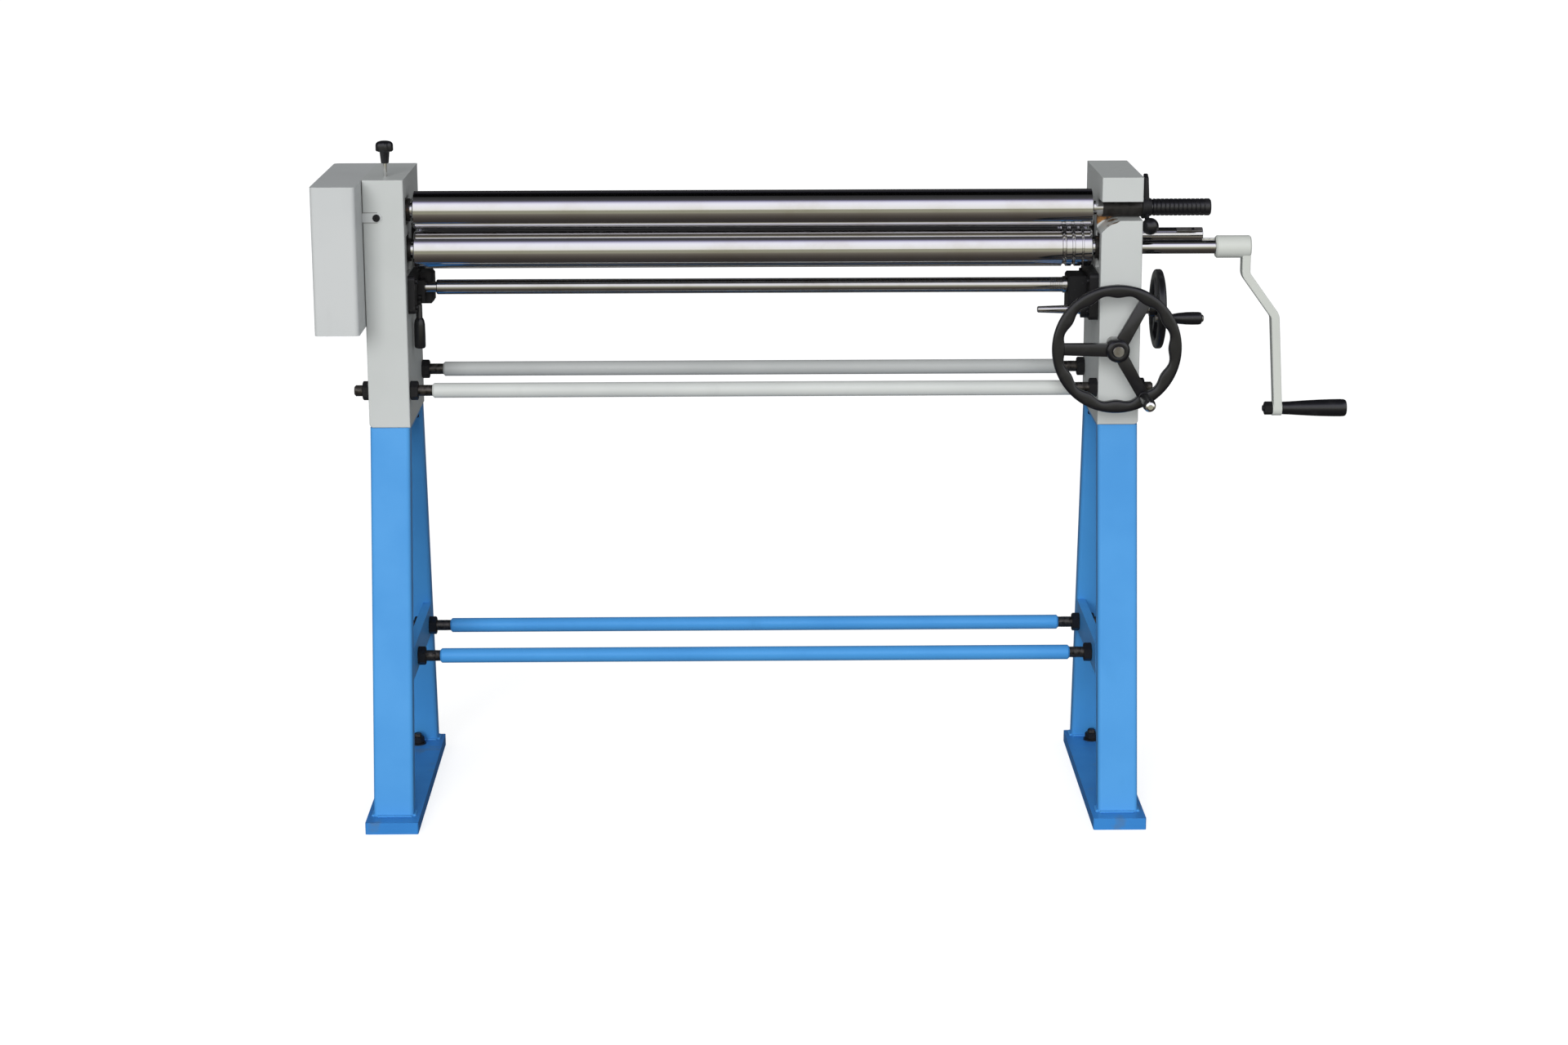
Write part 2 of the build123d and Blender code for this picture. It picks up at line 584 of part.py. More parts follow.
# ---------------------------------------------------------------- rolls
def roll_profile(left_steps, right_steps, grooves):
    """Points of a turned roll from left to right, each step is (end x, diameter)."""
    points = []
    x_from = -ROLL_HALF
    body = [(x_from, ROLL_D / 2 - ROLL_CHAMFER), (x_from + ROLL_CHAMFER, ROLL_D / 2)]
    start = left_steps[-1][0]
    points.append((start, left_steps[-1][1] / 2 - 1))
    points.append((start + 1, left_steps[-1][1] / 2))
    for index in range(len(left_steps) - 1, 0, -1):
        points.append((left_steps[index - 1][0], left_steps[index][1] / 2))
        points.append((left_steps[index - 1][0], left_steps[index - 1][1] / 2))
    points.append((x_from, left_steps[0][1] / 2))
    points += body
    if grooves:
        for number in range(len(GROOVE_RADII), 0, -1):
            at = ROLL_HALF - GROOVE_PITCH * number - 1.0
            r = GROOVE_RADII[number - 1]
            points.append((at - r, ROLL_D / 2))
            for step in range(1, 8):
                turn = pi * step / 8
                points.append((at - r * cos(turn), ROLL_D / 2 - r * sin(turn)))
            points.append((at + r, ROLL_D / 2))
    points.append((ROLL_HALF - ROLL_CHAMFER, ROLL_D / 2))
    points.append((ROLL_HALF, ROLL_D / 2 - ROLL_CHAMFER))
    x_now = ROLL_HALF
    for x_end, diameter in right_steps[:-1]:
        points.append((x_now, diameter / 2))
        points.append((x_end, diameter / 2))
        x_now = x_end
    x_end, diameter = right_steps[-1]
    points.append((x_now, diameter / 2))
    points.append((x_end - 1, diameter / 2))
    points.append((x_end, diameter / 2 - 1))
    return points


BLOCK_X = (INNER + BLOCK_INSET, INNER + BLOCK_INSET + BLOCK_LENGTH)
GEAR_X = (-OUTER - GEAR_GAP, -OUTER - GEAR_GAP - GEAR_FACE)
SWIVEL_FAR = SWIVEL_X + SWIVEL_LENGTH / 2

with BuildPart() as top_roll:
    left_steps = [(-SWIVEL_FAR - GAP, JOURNAL_D), (GEAR_X[1] - 4, GEAR_SEAT_D)]
    right_steps = [(OUTER + LEVER_T + 6, TOP_SHAFT_D), (PULL_GRIP_START + PULL_GRIP_L - 4, GRIP_SHAFT_D)]
    turned_x(roll_profile(left_steps, right_steps, False), 0, TOP_ROLL_Z)
save(top_roll, "top_roll")

with BuildPart() as lower_roll:
    left_steps = [(-BLOCK_X[1] - 2 * GAP, JOURNAL_D), (GEAR_X[1] - 4, GEAR_SEAT_D)]
    right_steps = [(BLOCK_X[1] + 2 * GAP, JOURNAL_D), (HUB_END - HUB_LIP, CRANK_SHAFT_D)]
    turned_x(roll_profile(left_steps, right_steps, True), 0, LOWER_ROLL_Z)
save(lower_roll, "lower_roll")


def key_box(length, width, height, mode):
    """A block on the rear shaft's end at the key's angle, half sunk in the shaft."""
    angle = radians(REAR_KEY_ANGLE)
    place_y = REAR_ROLL_Y - REAR_SHAFT_D / 2 * sin(angle)
    place_z = REAR_ROLL_Z + REAR_SHAFT_D / 2 * cos(angle)
    place = Location((REAR_SHAFT_END - 2 - KEY_L / 2, place_y, place_z), (REAR_KEY_ANGLE, 0, 0))
    with Locations(place):
        Box(length, width, height, mode=mode)


with BuildPart() as rear_roll:
    left_steps = [(-BLOCK_X[1], JOURNAL_D)]
    right_steps = [(BLOCK_X[1] + 2 * GAP, JOURNAL_D), (REAR_SHAFT_END, REAR_SHAFT_D)]
    turned_x(roll_profile(left_steps, right_steps, True), REAR_ROLL_Y, REAR_ROLL_Z)
    key_box(KEY_L, KEY_W, KEY_H, Mode.SUBTRACT)
save(rear_roll, "rear_roll")

with BuildPart() as rear_key:
    key_box(KEY_L, KEY_W, KEY_H, Mode.ADD)
    fillet(rear_key.edges().filter_by(Axis.X), 0.8)
save(rear_key, "rear_key")


# ---------------------------------------------------------------- gears of the two driven rolls
def roll_gear(z, first_tooth):
    """Coarse gear that stays in mesh while the rolls move apart."""
    root = GEAR_PITCH_D / 2 - DEDENDUM
    tip = GEAR_PITCH_D / 2 + ADDENDUM
    lean = (TOOTH_AT_PITCH / 2 - 1.0) / ADDENDUM
    with BuildPart() as gear:
        with BuildSketch(Plane.YZ.offset(GEAR_X[1])):
            with Locations((0, z)):
                Circle(root)
            for tooth in range(TEETH):
                turn = radians(first_tooth + 360 / TEETH * tooth)
                corners = []
                for r, sign in ((root - 2, -1), (tip, -1), (tip, 1), (root - 2, 1)):
                    half = TOOTH_AT_PITCH / 2 + (GEAR_PITCH_D / 2 - r) * lean * 0.5
                    y = r * cos(turn) - sign * half * sin(turn)
                    h = r * sin(turn) + sign * half * cos(turn)
                    corners.append((y, z + h))
                with BuildLine():
                    Polyline(*corners, close=True)
                make_face()
        extrude(amount=GEAR_FACE)
        bar_x(GEAR_SEAT_D, (GEAR_X[1] - GAP, GEAR_X[0] + GAP), 0, z, Mode.SUBTRACT)
    return gear


save(roll_gear(TOP_ROLL_Z, 90 + 180 / TEETH), "top_gear")
save(roll_gear(LOWER_ROLL_Z, 90), "lower_gear")


# ---------------------------------------------------------------- bearings
BUSH_D = JOURNAL_D + 2 * BUSH_WALL


def bush_profile(near, far):
    """Flanged bush from the flange's face outwards, as (x, radius) points."""
    return [(near, BUSH_FLANGE_D / 2), (near + BUSH_FLANGE_T, BUSH_FLANGE_D / 2),
            (near + BUSH_FLANGE_T, BUSH_D / 2), (far, BUSH_D / 2)]


def bush(side, y, z, far):
    """One flanged bush with its bore."""
    points = [(side * x, r) for x, r in bush_profile(INNER - BUSH_FLANGE_T, far)]
    turned_x(points if side > 0 else points[::-1], y, z)
    bar_x(JOURNAL_D + 2 * RUN, span(side, INNER - BUSH_FLANGE_T - GAP, far + GAP), y, z, Mode.SUBTRACT)


with BuildPart() as swivel_block:
    block((-SWIVEL_FAR, -SWIVEL_FAR + SWIVEL_LENGTH), (-SWIVEL_WIDTH / 2, SWIVEL_WIDTH / 2),
          (TOP_ROLL_Z - SWIVEL_HEIGHT / 2, TOP_ROLL_Z + SWIVEL_HEIGHT / 2))
    chamfer(swivel_block.edges().filter_by(Axis.Z), 3)
    pivot_reach = SWIVEL_HEIGHT / 2 + TRUNNION_L
    bar_z(TRUNNION_D, -SWIVEL_X, 0, (TOP_ROLL_Z - pivot_reach, TOP_ROLL_Z + pivot_reach))
    bar_x(BUSH_D, (-SWIVEL_FAR - GAP, -INNER), 0, TOP_ROLL_Z, Mode.SUBTRACT)
save(swivel_block, "swivel_block")

with BuildPart() as top_left_bush:
    bush(LEFT, 0, TOP_ROLL_Z, SWIVEL_FAR)
save(top_left_bush, "top_left_bush")


def bearing_blocks(y, z):
    """The pair of sliding blocks of one roll."""
    with BuildPart() as pair:
        for side in (LEFT, RIGHT):
            block(span(side, *BLOCK_X), (y - BLOCK_WIDTH / 2, y + BLOCK_WIDTH / 2),
                  (z - BLOCK_HEIGHT / 2, z + BLOCK_HEIGHT / 2))
            bar_x(BUSH_D, span(side, BLOCK_X[0] - GAP, BLOCK_X[1] + GAP), y, z, Mode.SUBTRACT)
        chamfer(pair.edges().filter_by(Axis.X).filter_by(GeomType.LINE), 1.5)
    return pair


def bearing_bushes(y, z):
    """The pair of flanged bushes of one roll."""
    with BuildPart() as pair:
        for side in (LEFT, RIGHT):
            bush(side, y, z, BLOCK_X[1])
    return pair


save(bearing_blocks(0, LOWER_ROLL_Z), "lower_blocks")
save(bearing_blocks(REAR_ROLL_Y, REAR_ROLL_Z), "rear_blocks")
save(bearing_bushes(0, LOWER_ROLL_Z), "lower_bushes")
save(bearing_bushes(REAR_ROLL_Y, REAR_ROLL_Z), "rear_bushes")

# ---------------------------------------------------------------- lifting screws and nuts
NUT_TOP = SHELF_TOP + NUT_FLANGE_T
NIP_SCREW_LOW = NIP_Z + NIP_BEVEL_BACK + SCREW_D + NIP_DOWN
REAR_SCREW_LOW = BEND_WHEEL_Z + BEVEL_BACK + REAR_DOWN + SCREW_D + BUSH_FLANGE_T + GAP

with BuildPart() as nip_screws:
    for side in (LEFT, RIGHT):
        bar_z(SCREW_D, side * SCREW_X, 0, (NIP_SCREW_LOW, LOWER_ROLL_Z - BLOCK_HEIGHT / 2))
save(nip_screws, "nip_screws")

with BuildPart() as rear_screws:
    for side in (LEFT, RIGHT):
        bar_z(SCREW_D, side * SCREW_X, REAR_ROLL_Y, (REAR_SCREW_LOW, REAR_ROLL_Z - BLOCK_HEIGHT / 2))
save(rear_screws, "rear_screws")

with BuildPart() as nip_nut:
    bevel_high = NIP_Z + NIP_BEVEL_BACK
    turned_z([(NIP_BEVEL_FRONT - BEVEL_GAP, NIP_Z + NIP_BEVEL_FRONT),
              (NIP_BEVEL_BACK - BEVEL_GAP, bevel_high), (NUT_STEM_D / 2, bevel_high + 2),
              (NUT_STEM_D / 2, SHELF_TOP), (NUT_FLANGE_D / 2, SHELF_TOP), (NUT_FLANGE_D / 2, NUT_TOP)],
             SCREW_X, 0)
    bar_z(SCREW_D + 2 * RUN, SCREW_X, 0, (NIP_SCREW_LOW - 3 * NIP_DOWN, NUT_TOP + GAP), Mode.SUBTRACT)
save(nip_nut, "nip_nut")

LINK_Z = (CROSS_Z - 10.0, CROSS_Z + 10.0)
REAR_NUT_FLOOR = REAR_SCREW_LOW - REAR_DOWN - NUT_CLEAR


def rear_nut(side):
    """Turning nut of the rear roll with its link gear; the right one also has a bevel."""
    with BuildPart() as nut:
        if side == RIGHT:
            profile = [(BEVEL_FRONT - BEVEL_GAP, BEND_WHEEL_Z + BEVEL_FRONT),
                       (BEVEL_BACK - BEVEL_GAP, BEND_WHEEL_Z + BEVEL_BACK),
                       (NUT_STEM_D / 2, BEND_WHEEL_Z + BEVEL_BACK + 2)]
        else:
            profile = [(NUT_STEM_D / 2, REAR_NUT_FLOOR - 8)]
        profile += [(NUT_STEM_D / 2, LINK_Z[0]), (LINK_GEAR_D / 2, LINK_Z[0]), (LINK_GEAR_D / 2, LINK_Z[1]),
                    (NUT_STEM_D / 2, LINK_Z[1]), (NUT_STEM_D / 2, SHELF_TOP), (NUT_FLANGE_D / 2, SHELF_TOP),
                    (NUT_FLANGE_D / 2, NUT_TOP)]
        turned_z(profile, side * SCREW_X, REAR_ROLL_Y)
        bar_z(SCREW_D + 2 * RUN, side * SCREW_X, REAR_ROLL_Y, (REAR_NUT_FLOOR, NUT_TOP + GAP), Mode.SUBTRACT)
    return nut


save(rear_nut(LEFT), "left_rear_nut")
save(rear_nut(RIGHT), "right_rear_nut")

# ---------------------------------------------------------------- lock of the top roll
with BuildPart() as lock_bush:
    bar_x(LOCK_BUSH_D, (LOCK_BUSH_START, OUTER + LEVER_T - 10), 0, TOP_ROLL_Z)
    bar_x(TOP_SHAFT_D + 2 * RUN, (LOCK_BUSH_START - GAP, OUTER + LEVER_T), 0, TOP_ROLL_Z, Mode.SUBTRACT)
save(lock_bush, "lock_bush")

LEVER_X = (OUTER + LEVER_T - 10, OUTER + 2 * LEVER_T - 10)
STEM_X = LEVER_X[1] - 5
BALL_X = LEVER_X[1]
STEM_MID = (LEVER_HUB_D / 2 + (BALL_DROP**2 + BALL_FORWARD**2) ** 0.5 - 3) / 2

with BuildPart() as lock_lever:
    with BuildSketch(Plane.YZ.offset(LEVER_X[0])):
        with Locations((0, TOP_ROLL_Z)):
            Circle(LEVER_HUB_D / 2)
        with BuildLine():
            Polyline((-14, TOP_ROLL_Z), (-LEVER_TIP_W / 2, TOP_ROLL_Z + LEVER_UP - 8),
                     (LEVER_TIP_W / 2, TOP_ROLL_Z + LEVER_UP), (14, TOP_ROLL_Z), close=True)
        make_face()
    extrude(amount=LEVER_T)
    # stem of the ball, at 45 degrees down to the front
    stem_offset = STEM_MID * sin(radians(45))
    with Locations(Location((STEM_X, -stem_offset, TOP_ROLL_Z - stem_offset), (-45, 0, 0))):
        Cylinder(5, 2 * (STEM_MID - LEVER_HUB_D / 2 + 6))
    bar_x(TOP_SHAFT_D + 2 * RUN, (LEVER_X[0] - GAP, LEVER_X[1] + GAP), 0, TOP_ROLL_Z, Mode.SUBTRACT)
save(lock_lever, "lock_lever")

with BuildPart() as lock_ball:
    with Locations((BALL_X, -BALL_FORWARD, TOP_ROLL_Z - BALL_DROP)):
        Sphere(BALL_D / 2)
    with Locations(Location((STEM_X, -stem_offset, TOP_ROLL_Z - stem_offset), (-45, 0, 0))):
        Cylinder(5, 2 * (STEM_MID - LEVER_HUB_D / 2 + 6), mode=Mode.SUBTRACT)
save(lock_ball, "lock_ball")

with BuildPart() as pull_grip:
    ribs = 12
    pitch = (PULL_GRIP_L - 12) / ribs
    grip_points = [(PULL_GRIP_START, PULL_GRIP_D / 2 - 2), (PULL_GRIP_START + 2, PULL_GRIP_D / 2)]
    for rib in range(ribs):
        rib_x = PULL_GRIP_START + 6 + pitch * rib
        grip_points.append((rib_x, PULL_GRIP_D / 2))
        grip_points.append((rib_x + 1.5, PULL_GRIP_D / 2 - 1.2))
        grip_points.append((rib_x + 3, PULL_GRIP_D / 2))
    grip_points.append((PULL_GRIP_START + PULL_GRIP_L - 3, PULL_GRIP_D / 2))
    grip_points.append((PULL_GRIP_START + PULL_GRIP_L, PULL_GRIP_D / 2 - 3))
    turned_x(grip_points, 0, TOP_ROLL_Z)
    bar_x(GRIP_SHAFT_D + 2 * RUN, (PULL_GRIP_START - GAP, PULL_GRIP_START + PULL_GRIP_L + GAP), 0, TOP_ROLL_Z,
          Mode.SUBTRACT)
save(pull_grip, "pull_grip")

# ---------------------------------------------------------------- lock knob
with BuildPart() as lock_knob:
    neck_low = FRAME_TOP + KNOB_GAP_H
    head_low = neck_low + KNOB_NECK_H
    head_high = head_low + KNOB_HEIGHT
    with BuildSketch(Plane.XY.offset(head_low)):
        with Locations((-SWIVEL_X, 0)):
            Circle(KNOB_D / 2 - 2)
        for lobe in range(KNOB_LOBES):
            turn = 2 * pi * lobe / KNOB_LOBES
            with Locations((-SWIVEL_X + (KNOB_D / 2 - 5) * cos(turn), (KNOB_D / 2 - 5) * sin(turn))):
                Circle(5)
    extrude(amount=KNOB_HEIGHT)
    fillet(lock_knob.faces().sort_by(Axis.Z)[-1].edges(), 3)
    turned_z([(KNOB_NECK_D / 2 - 2, neck_low), (KNOB_NECK_D / 2, head_low)], -SWIVEL_X, 0)
    bar_z(KNOB_ROD_D, -SWIVEL_X, 0, (TOP_ROLL_Z + SWIVEL_HEIGHT / 2 + TRUNNION_L + 2 * GAP, neck_low))
save(lock_knob, "lock_knob")

# ---------------------------------------------------------------- crank
HANDLE_Z = LOWER_ROLL_Z - CRANK_THROW

with BuildPart() as crank_arm:
    with BuildLine():
        FilletPolyline((ARM_TOP_X, 0, LOWER_ROLL_Z), (ARM_TOP_X, 0, LOWER_ROLL_Z - ARM_KNEE_1),
                       (ARM_LOW_X, 0, LOWER_ROLL_Z - ARM_KNEE_2), (ARM_END_X, 0, HANDLE_Z), radius=22)
    with BuildSketch(Plane((ARM_TOP_X, 0, LOWER_ROLL_Z), x_dir=(1, 0, 0), z_dir=(0, 0, -1))):
        RectangleRounded(ARM_T, ARM_W, 2.5)
    sweep()
    bar_x(ARM_W, (ARM_END_X - ARM_T / 2 - ARM_BOSS, ARM_END_X + ARM_T / 2), 0, HANDLE_Z)
    turned_x([(HUB_START, HUB_D / 2 - 3), (HUB_START + 3, HUB_D / 2), (HUB_END - 3, HUB_D / 2),
              (HUB_END, HUB_D / 2 - 3)], 0, LOWER_ROLL_Z)
    bar_x(CRANK_SHAFT_D, (HUB_START - GAP, HUB_END - HUB_LIP), 0, LOWER_ROLL_Z, Mode.SUBTRACT)
    bar_x(CRANK_PIN_D, (ARM_END_X - ARM_T, ARM_END_X + ARM_T), 0, HANDLE_Z, Mode.SUBTRACT)
save(crank_arm, "crank_arm")

GRIP_X = (ARM_END_X + ARM_T / 2 + GAP, ARM_END_X + ARM_T / 2 + GAP + CRANK_GRIP_L)
crank_nut = hex_nut(CRANK_NUT_AF, 16)

with BuildPart() as crank_pin:
    nut_x = ARM_END_X - ARM_T / 2 - ARM_BOSS
    bar_x(CRANK_PIN_D, (nut_x - 16, GRIP_X[1] - 4), 0, HANDLE_Z)
    with Locations(Location((nut_x - 16, 0, HANDLE_Z), (0, 90, 0))):
        add(crank_nut)
    turned_x([(nut_x - 20, CRANK_PIN_D / 2 - 2), (nut_x - 18, CRANK_PIN_D / 2), (nut_x - 16, CRANK_PIN_D / 2)], 0,
             HANDLE_Z)
    bar_x(CRANK_PIN_D + 6, (GRIP_X[1] - 4, GRIP_X[1] - 1), 0, HANDLE_Z)
save(crank_pin, "crank_pin")

with BuildPart() as crank_grip:
    r1 = CRANK_GRIP_D1 / 2
    r2 = CRANK_GRIP_D2 / 2
    turned_x([(GRIP_X[0], r1 - 1), (GRIP_X[0] + 2, r1), (GRIP_X[0] + 45, r1 + 2), (GRIP_X[0] + 85, r2 - 1),
              (GRIP_X[0] + 105, r2), (GRIP_X[1] - 8, r2 - 1), (GRIP_X[1] - 2, r2 - 5), (GRIP_X[1], r2 - 7)], 0,
             HANDLE_Z)
    bar_x(CRANK_PIN_D + 2 * RUN, (GRIP_X[0] - GAP, GRIP_X[1]), 0, HANDLE_Z, Mode.SUBTRACT)
    bar_x(CRANK_PIN_D + 7, (GRIP_X[1] - 4 - FREE, GRIP_X[1] + GAP), 0, HANDLE_Z, Mode.SUBTRACT)
save(crank_grip, "crank_grip")

# ---------------------------------------------------------------- cross shaft and housings
LINK_GEAR_MID = BLOCK_X[0] + BLOCK_LENGTH / 2
NECK_END = LINK_GEAR_MID + LINK_GEAR_W

with BuildPart() as cross_shaft:
    gear_mid = LINK_GEAR_MID
    turned_x([(-NECK_END, CROSS_NECK_D / 2), (-CROSS_LEFT, CROSS_NECK_D / 2), (-CROSS_LEFT, CROSS_D / 2 - 1.5),
              (-CROSS_LEFT + 1.5, CROSS_D / 2), (CROSS_RIGHT, CROSS_D / 2), (CROSS_RIGHT, CROSS_D / 2 + 2),
              (CROSS_RIGHT + CROSS_COLLAR, CROSS_D / 2 + 2), (CROSS_RIGHT + CROSS_COLLAR, CROSS_NECK_D / 2),
              (NECK_END, CROSS_NECK_D / 2)], CROSS_Y, CROSS_Z)
    for side in (LEFT, RIGHT):
        bar_x(LINK_GEAR_D, span(side, gear_mid - LINK_GEAR_W / 2, gear_mid + LINK_GEAR_W / 2), CROSS_Y, CROSS_Z)
save(cross_shaft, "cross_shaft")


def housing_plate(side):
    """Flat flange of a housing against the inner face of its side frame."""
    low = HOUSING_LOW[0] if side == LEFT else HOUSING_LOW[1]
    thick = HOUSING_T[0] if side == LEFT else HOUSING_T[1]
    with BuildSketch(Plane.YZ.offset(side * INNER)) as outline:
        with Locations(((HOUSING_Y[0] + HOUSING_Y[1]) / 2, (low + HOUSING_HIGH) / 2)):
            RectangleRounded(HOUSING_Y[1] - HOUSING_Y[0], HOUSING_HIGH - low, HOUSING_CORNER)
    extrude(outline.sketch, amount=-side * thick)


# boxes cast on the plates: how far each stands in from the frame, and its reach about the shaft
LEFT_BOX_X = (HOUSING_T[0], 42.0)
LEFT_BOX_Y = (14.0, 62.0)
LEFT_BOX_Z = (-36.0, 28.0)
LEFT_STEP_X = (HOUSING_T[0], 27.0)
LEFT_STEP_Y = (-20.0, 14.0)
LEFT_STEP_Z = (-13.0, 16.0)
CLEVIS_HALF = 7.0
EAR_HALF = 9.0
RIGHT_BOX_Y = (-24.0, 52.0)
RIGHT_BOX_Z = (-55.0, 20.0)
NOSE_HOUSING_D = 34.0


def about(middle, reach):
    """Two values a given reach below and above a middle."""
    return (middle + reach[0], middle + reach[1])


with BuildPart() as left_housing:
    housing_plate(LEFT)
    block((-INNER + LEFT_BOX_X[0], -INNER + LEFT_BOX_X[1]), about(CROSS_Y, LEFT_BOX_Y), about(CROSS_Z, LEFT_BOX_Z))
    chamfer(left_housing.faces().sort_by(Axis.X)[-1].edges(), 5)
    block((-INNER + LEFT_STEP_X[0], -INNER + LEFT_STEP_X[1]), about(CROSS_Y, LEFT_STEP_Y), about(CROSS_Z, LEFT_STEP_Z))
    # clevis of the hanging lever: room in the plate, an ear in front of it and a pin through both
    clevis_x = (-CLUTCH_X - CLEVIS_HALF, -CLUTCH_X + CLEVIS_HALF)
    block(clevis_x, (CLUTCH_Y - 30, CLUTCH_Y + EAR_HALF), (HOUSING_LOW[0] - GAP, CLUTCH_Z), Mode.SUBTRACT)
    bar_x(CLUTCH_EYE_D + 2, clevis_x, CLUTCH_Y, CLUTCH_Z, Mode.SUBTRACT)
    block((clevis_x[1], -INNER + LEFT_STEP_X[1]), (CLUTCH_Y - EAR_HALF, CLUTCH_Y + EAR_HALF),
          (CLUTCH_Z - EAR_HALF, CROSS_Z + LEFT_STEP_Z[0] + GAP))
    bar_x(CLUTCH_PIN_D, (clevis_x[0] - 3, -INNER + LEFT_STEP_X[1] + GAP), CLUTCH_Y, CLUTCH_Z)
    bar_x(CROSS_NECK_D + 2 * RUN, (-INNER - GAP, -CROSS_LEFT), CROSS_Y, CROSS_Z, Mode.SUBTRACT)
save(left_housing, "left_housing")

with BuildPart() as right_housing:
    housing_plate(RIGHT)
    block((CROSS_RIGHT + CROSS_COLLAR + GAP, INNER - HOUSING_T[1]), about(CROSS_Y, RIGHT_BOX_Y),
          about(CROSS_Z, RIGHT_BOX_Z))
    chamfer(right_housing.faces().sort_by(Axis.X)[0].edges(), 4)
    bar_x(NOSE_HOUSING_D, (NIP_NOSE_START, INNER), 0, NIP_Z)
    bar_x(CROSS_NECK_D + 2 * RUN, (CROSS_RIGHT, INNER + GAP), CROSS_Y, CROSS_Z, Mode.SUBTRACT)
    bar_x(NIP_SHAFT_D + 2 * RUN, (NIP_NOSE_START - GAP, INNER + GAP), 0, NIP_Z, Mode.SUBTRACT)
save(right_housing, "right_housing")

with BuildPart() as clutch_lever:
    bar_z(CLUTCH_STEM_D, -CLUTCH_X, CLUTCH_Y, (CLUTCH_GRIP_TOP, CLUTCH_Z - CLUTCH_EYE_D / 2 - GAP))
    block((-CLUTCH_X - CLUTCH_EYE_T / 2, -CLUTCH_X + CLUTCH_EYE_T / 2), (CLUTCH_Y - 5, CLUTCH_Y + 5),
          (CLUTCH_Z - 14, CLUTCH_Z))
    bar_x(CLUTCH_EYE_D, (-CLUTCH_X - CLUTCH_EYE_T / 2, -CLUTCH_X + CLUTCH_EYE_T / 2), CLUTCH_Y, CLUTCH_Z)
    grip_low = CLUTCH_GRIP_TOP - CLUTCH_GRIP_L
    r = CLUTCH_GRIP_D / 2
    turned_z([(r - 3, grip_low), (r, grip_low + 3), (r, CLUTCH_GRIP_TOP - 5), (r - 4, CLUTCH_GRIP_TOP)],
             -CLUTCH_X, CLUTCH_Y)
    bar_x(CLUTCH_PIN_D + 2 * RUN, (-CLUTCH_X - 9, -CLUTCH_X + 9), CLUTCH_Y, CLUTCH_Z, Mode.SUBTRACT)
save(clutch_lever, "clutch_lever")


# ---------------------------------------------------------------- front handwheel
def polar(x, z, radius, degrees):
    """A point at an angle around a wheel's centre."""
    return (x + radius * cos(radians(degrees)), z + radius * sin(radians(degrees)))


BEND_PIN_X, BEND_PIN_Z = polar(SCREW_X, BEND_WHEEL_Z, BEND_HANDLE_R, BEND_HANDLE_ANGLE)
BEND_PIN_D = 10.0
FINGERS = 12
FINGER_R = 9.0

with BuildPart() as bend_handwheel:
    rim_inner = BEND_WHEEL_D / 2 - BEND_RIM_WIDE
    with BuildSketch(Plane.XZ.offset(BEND_WHEEL_Y - BEND_RIM_D / 2)):
        with Locations((SCREW_X, BEND_WHEEL_Z)):
            Circle(BEND_WHEEL_D / 2)
            Circle(rim_inner, mode=Mode.SUBTRACT)
        # swellings for the fingers around the inside of the rim
        for finger in range(FINGERS):
            with Locations(polar(SCREW_X, BEND_WHEEL_Z, rim_inner, 360 / FINGERS * finger)):
                Circle(FINGER_R)
    extrude(amount=BEND_RIM_D)
    outer_edges = bend_handwheel.edges().filter_by(GeomType.CIRCLE).sort_by(SortBy.RADIUS)[-2:]
    chamfer(outer_edges, 4)
    for spoke in range(SPOKES):
        degrees = BEND_HANDLE_ANGLE + 120 * spoke
        root, tip = BEND_HUB_D / 2 - SPOKE_ROOT, rim_inner + SPOKE_BITE
        sx, sz = polar(SCREW_X, BEND_WHEEL_Z, (root + tip) / 2, degrees)
        with Locations(Location((sx, -BEND_WHEEL_Y + GAP, sz), (0, -degrees, 0))):
            Box(tip - root, SPOKE_T, SPOKE_W)
    turned_y([(BEND_HUB[0], BEND_HUB_D / 2 - 3), (BEND_HUB[0] + 3, BEND_HUB_D / 2), (BEND_HUB[1] - 3, BEND_HUB_D / 2),
              (BEND_HUB[1], BEND_HUB_D / 2 - 3)], SCREW_X, BEND_WHEEL_Z)
    bar_y(BEND_SHAFT_D, SCREW_X, (BEND_HUB[0] - GAP, BEND_HUB[1] + GAP), BEND_WHEEL_Z, Mode.SUBTRACT)
    bar_y(BEND_BOSS_D, BEND_PIN_X, (-BEND_WHEEL_Y - BEND_RIM_D / 2, -BEND_WHEEL_Y + BEND_RIM_D / 2), BEND_PIN_Z)
    bar_y(BEND_PIN_D, BEND_PIN_X, (-BEND_WHEEL_Y - BEND_RIM_D, -BEND_WHEEL_Y + BEND_RIM_D), BEND_PIN_Z, Mode.SUBTRACT)
save(bend_handwheel, "bend_handwheel")

with BuildPart() as bend_shaft:
    apex_y = REAR_ROLL_Y
    turned_y([(BEND_SHAFT_START, BEND_SHAFT_D / 2 - 1), (BEND_SHAFT_START + 1, BEND_SHAFT_D / 2),
              (apex_y - BEVEL_BACK - 2, BEND_SHAFT_D / 2), (apex_y - BEVEL_BACK, BEVEL_BACK - BEVEL_GAP),
              (apex_y - BEVEL_FRONT, BEVEL_FRONT - BEVEL_GAP)], SCREW_X, BEND_WHEEL_Z)
save(bend_shaft, "bend_shaft")

BEND_HANDLE_NEAR = -BEND_WHEEL_Y - BEND_RIM_D / 2 - GAP
BEND_HANDLE_Y = (BEND_HANDLE_NEAR, BEND_HANDLE_NEAR - BEND_HANDLE_L)

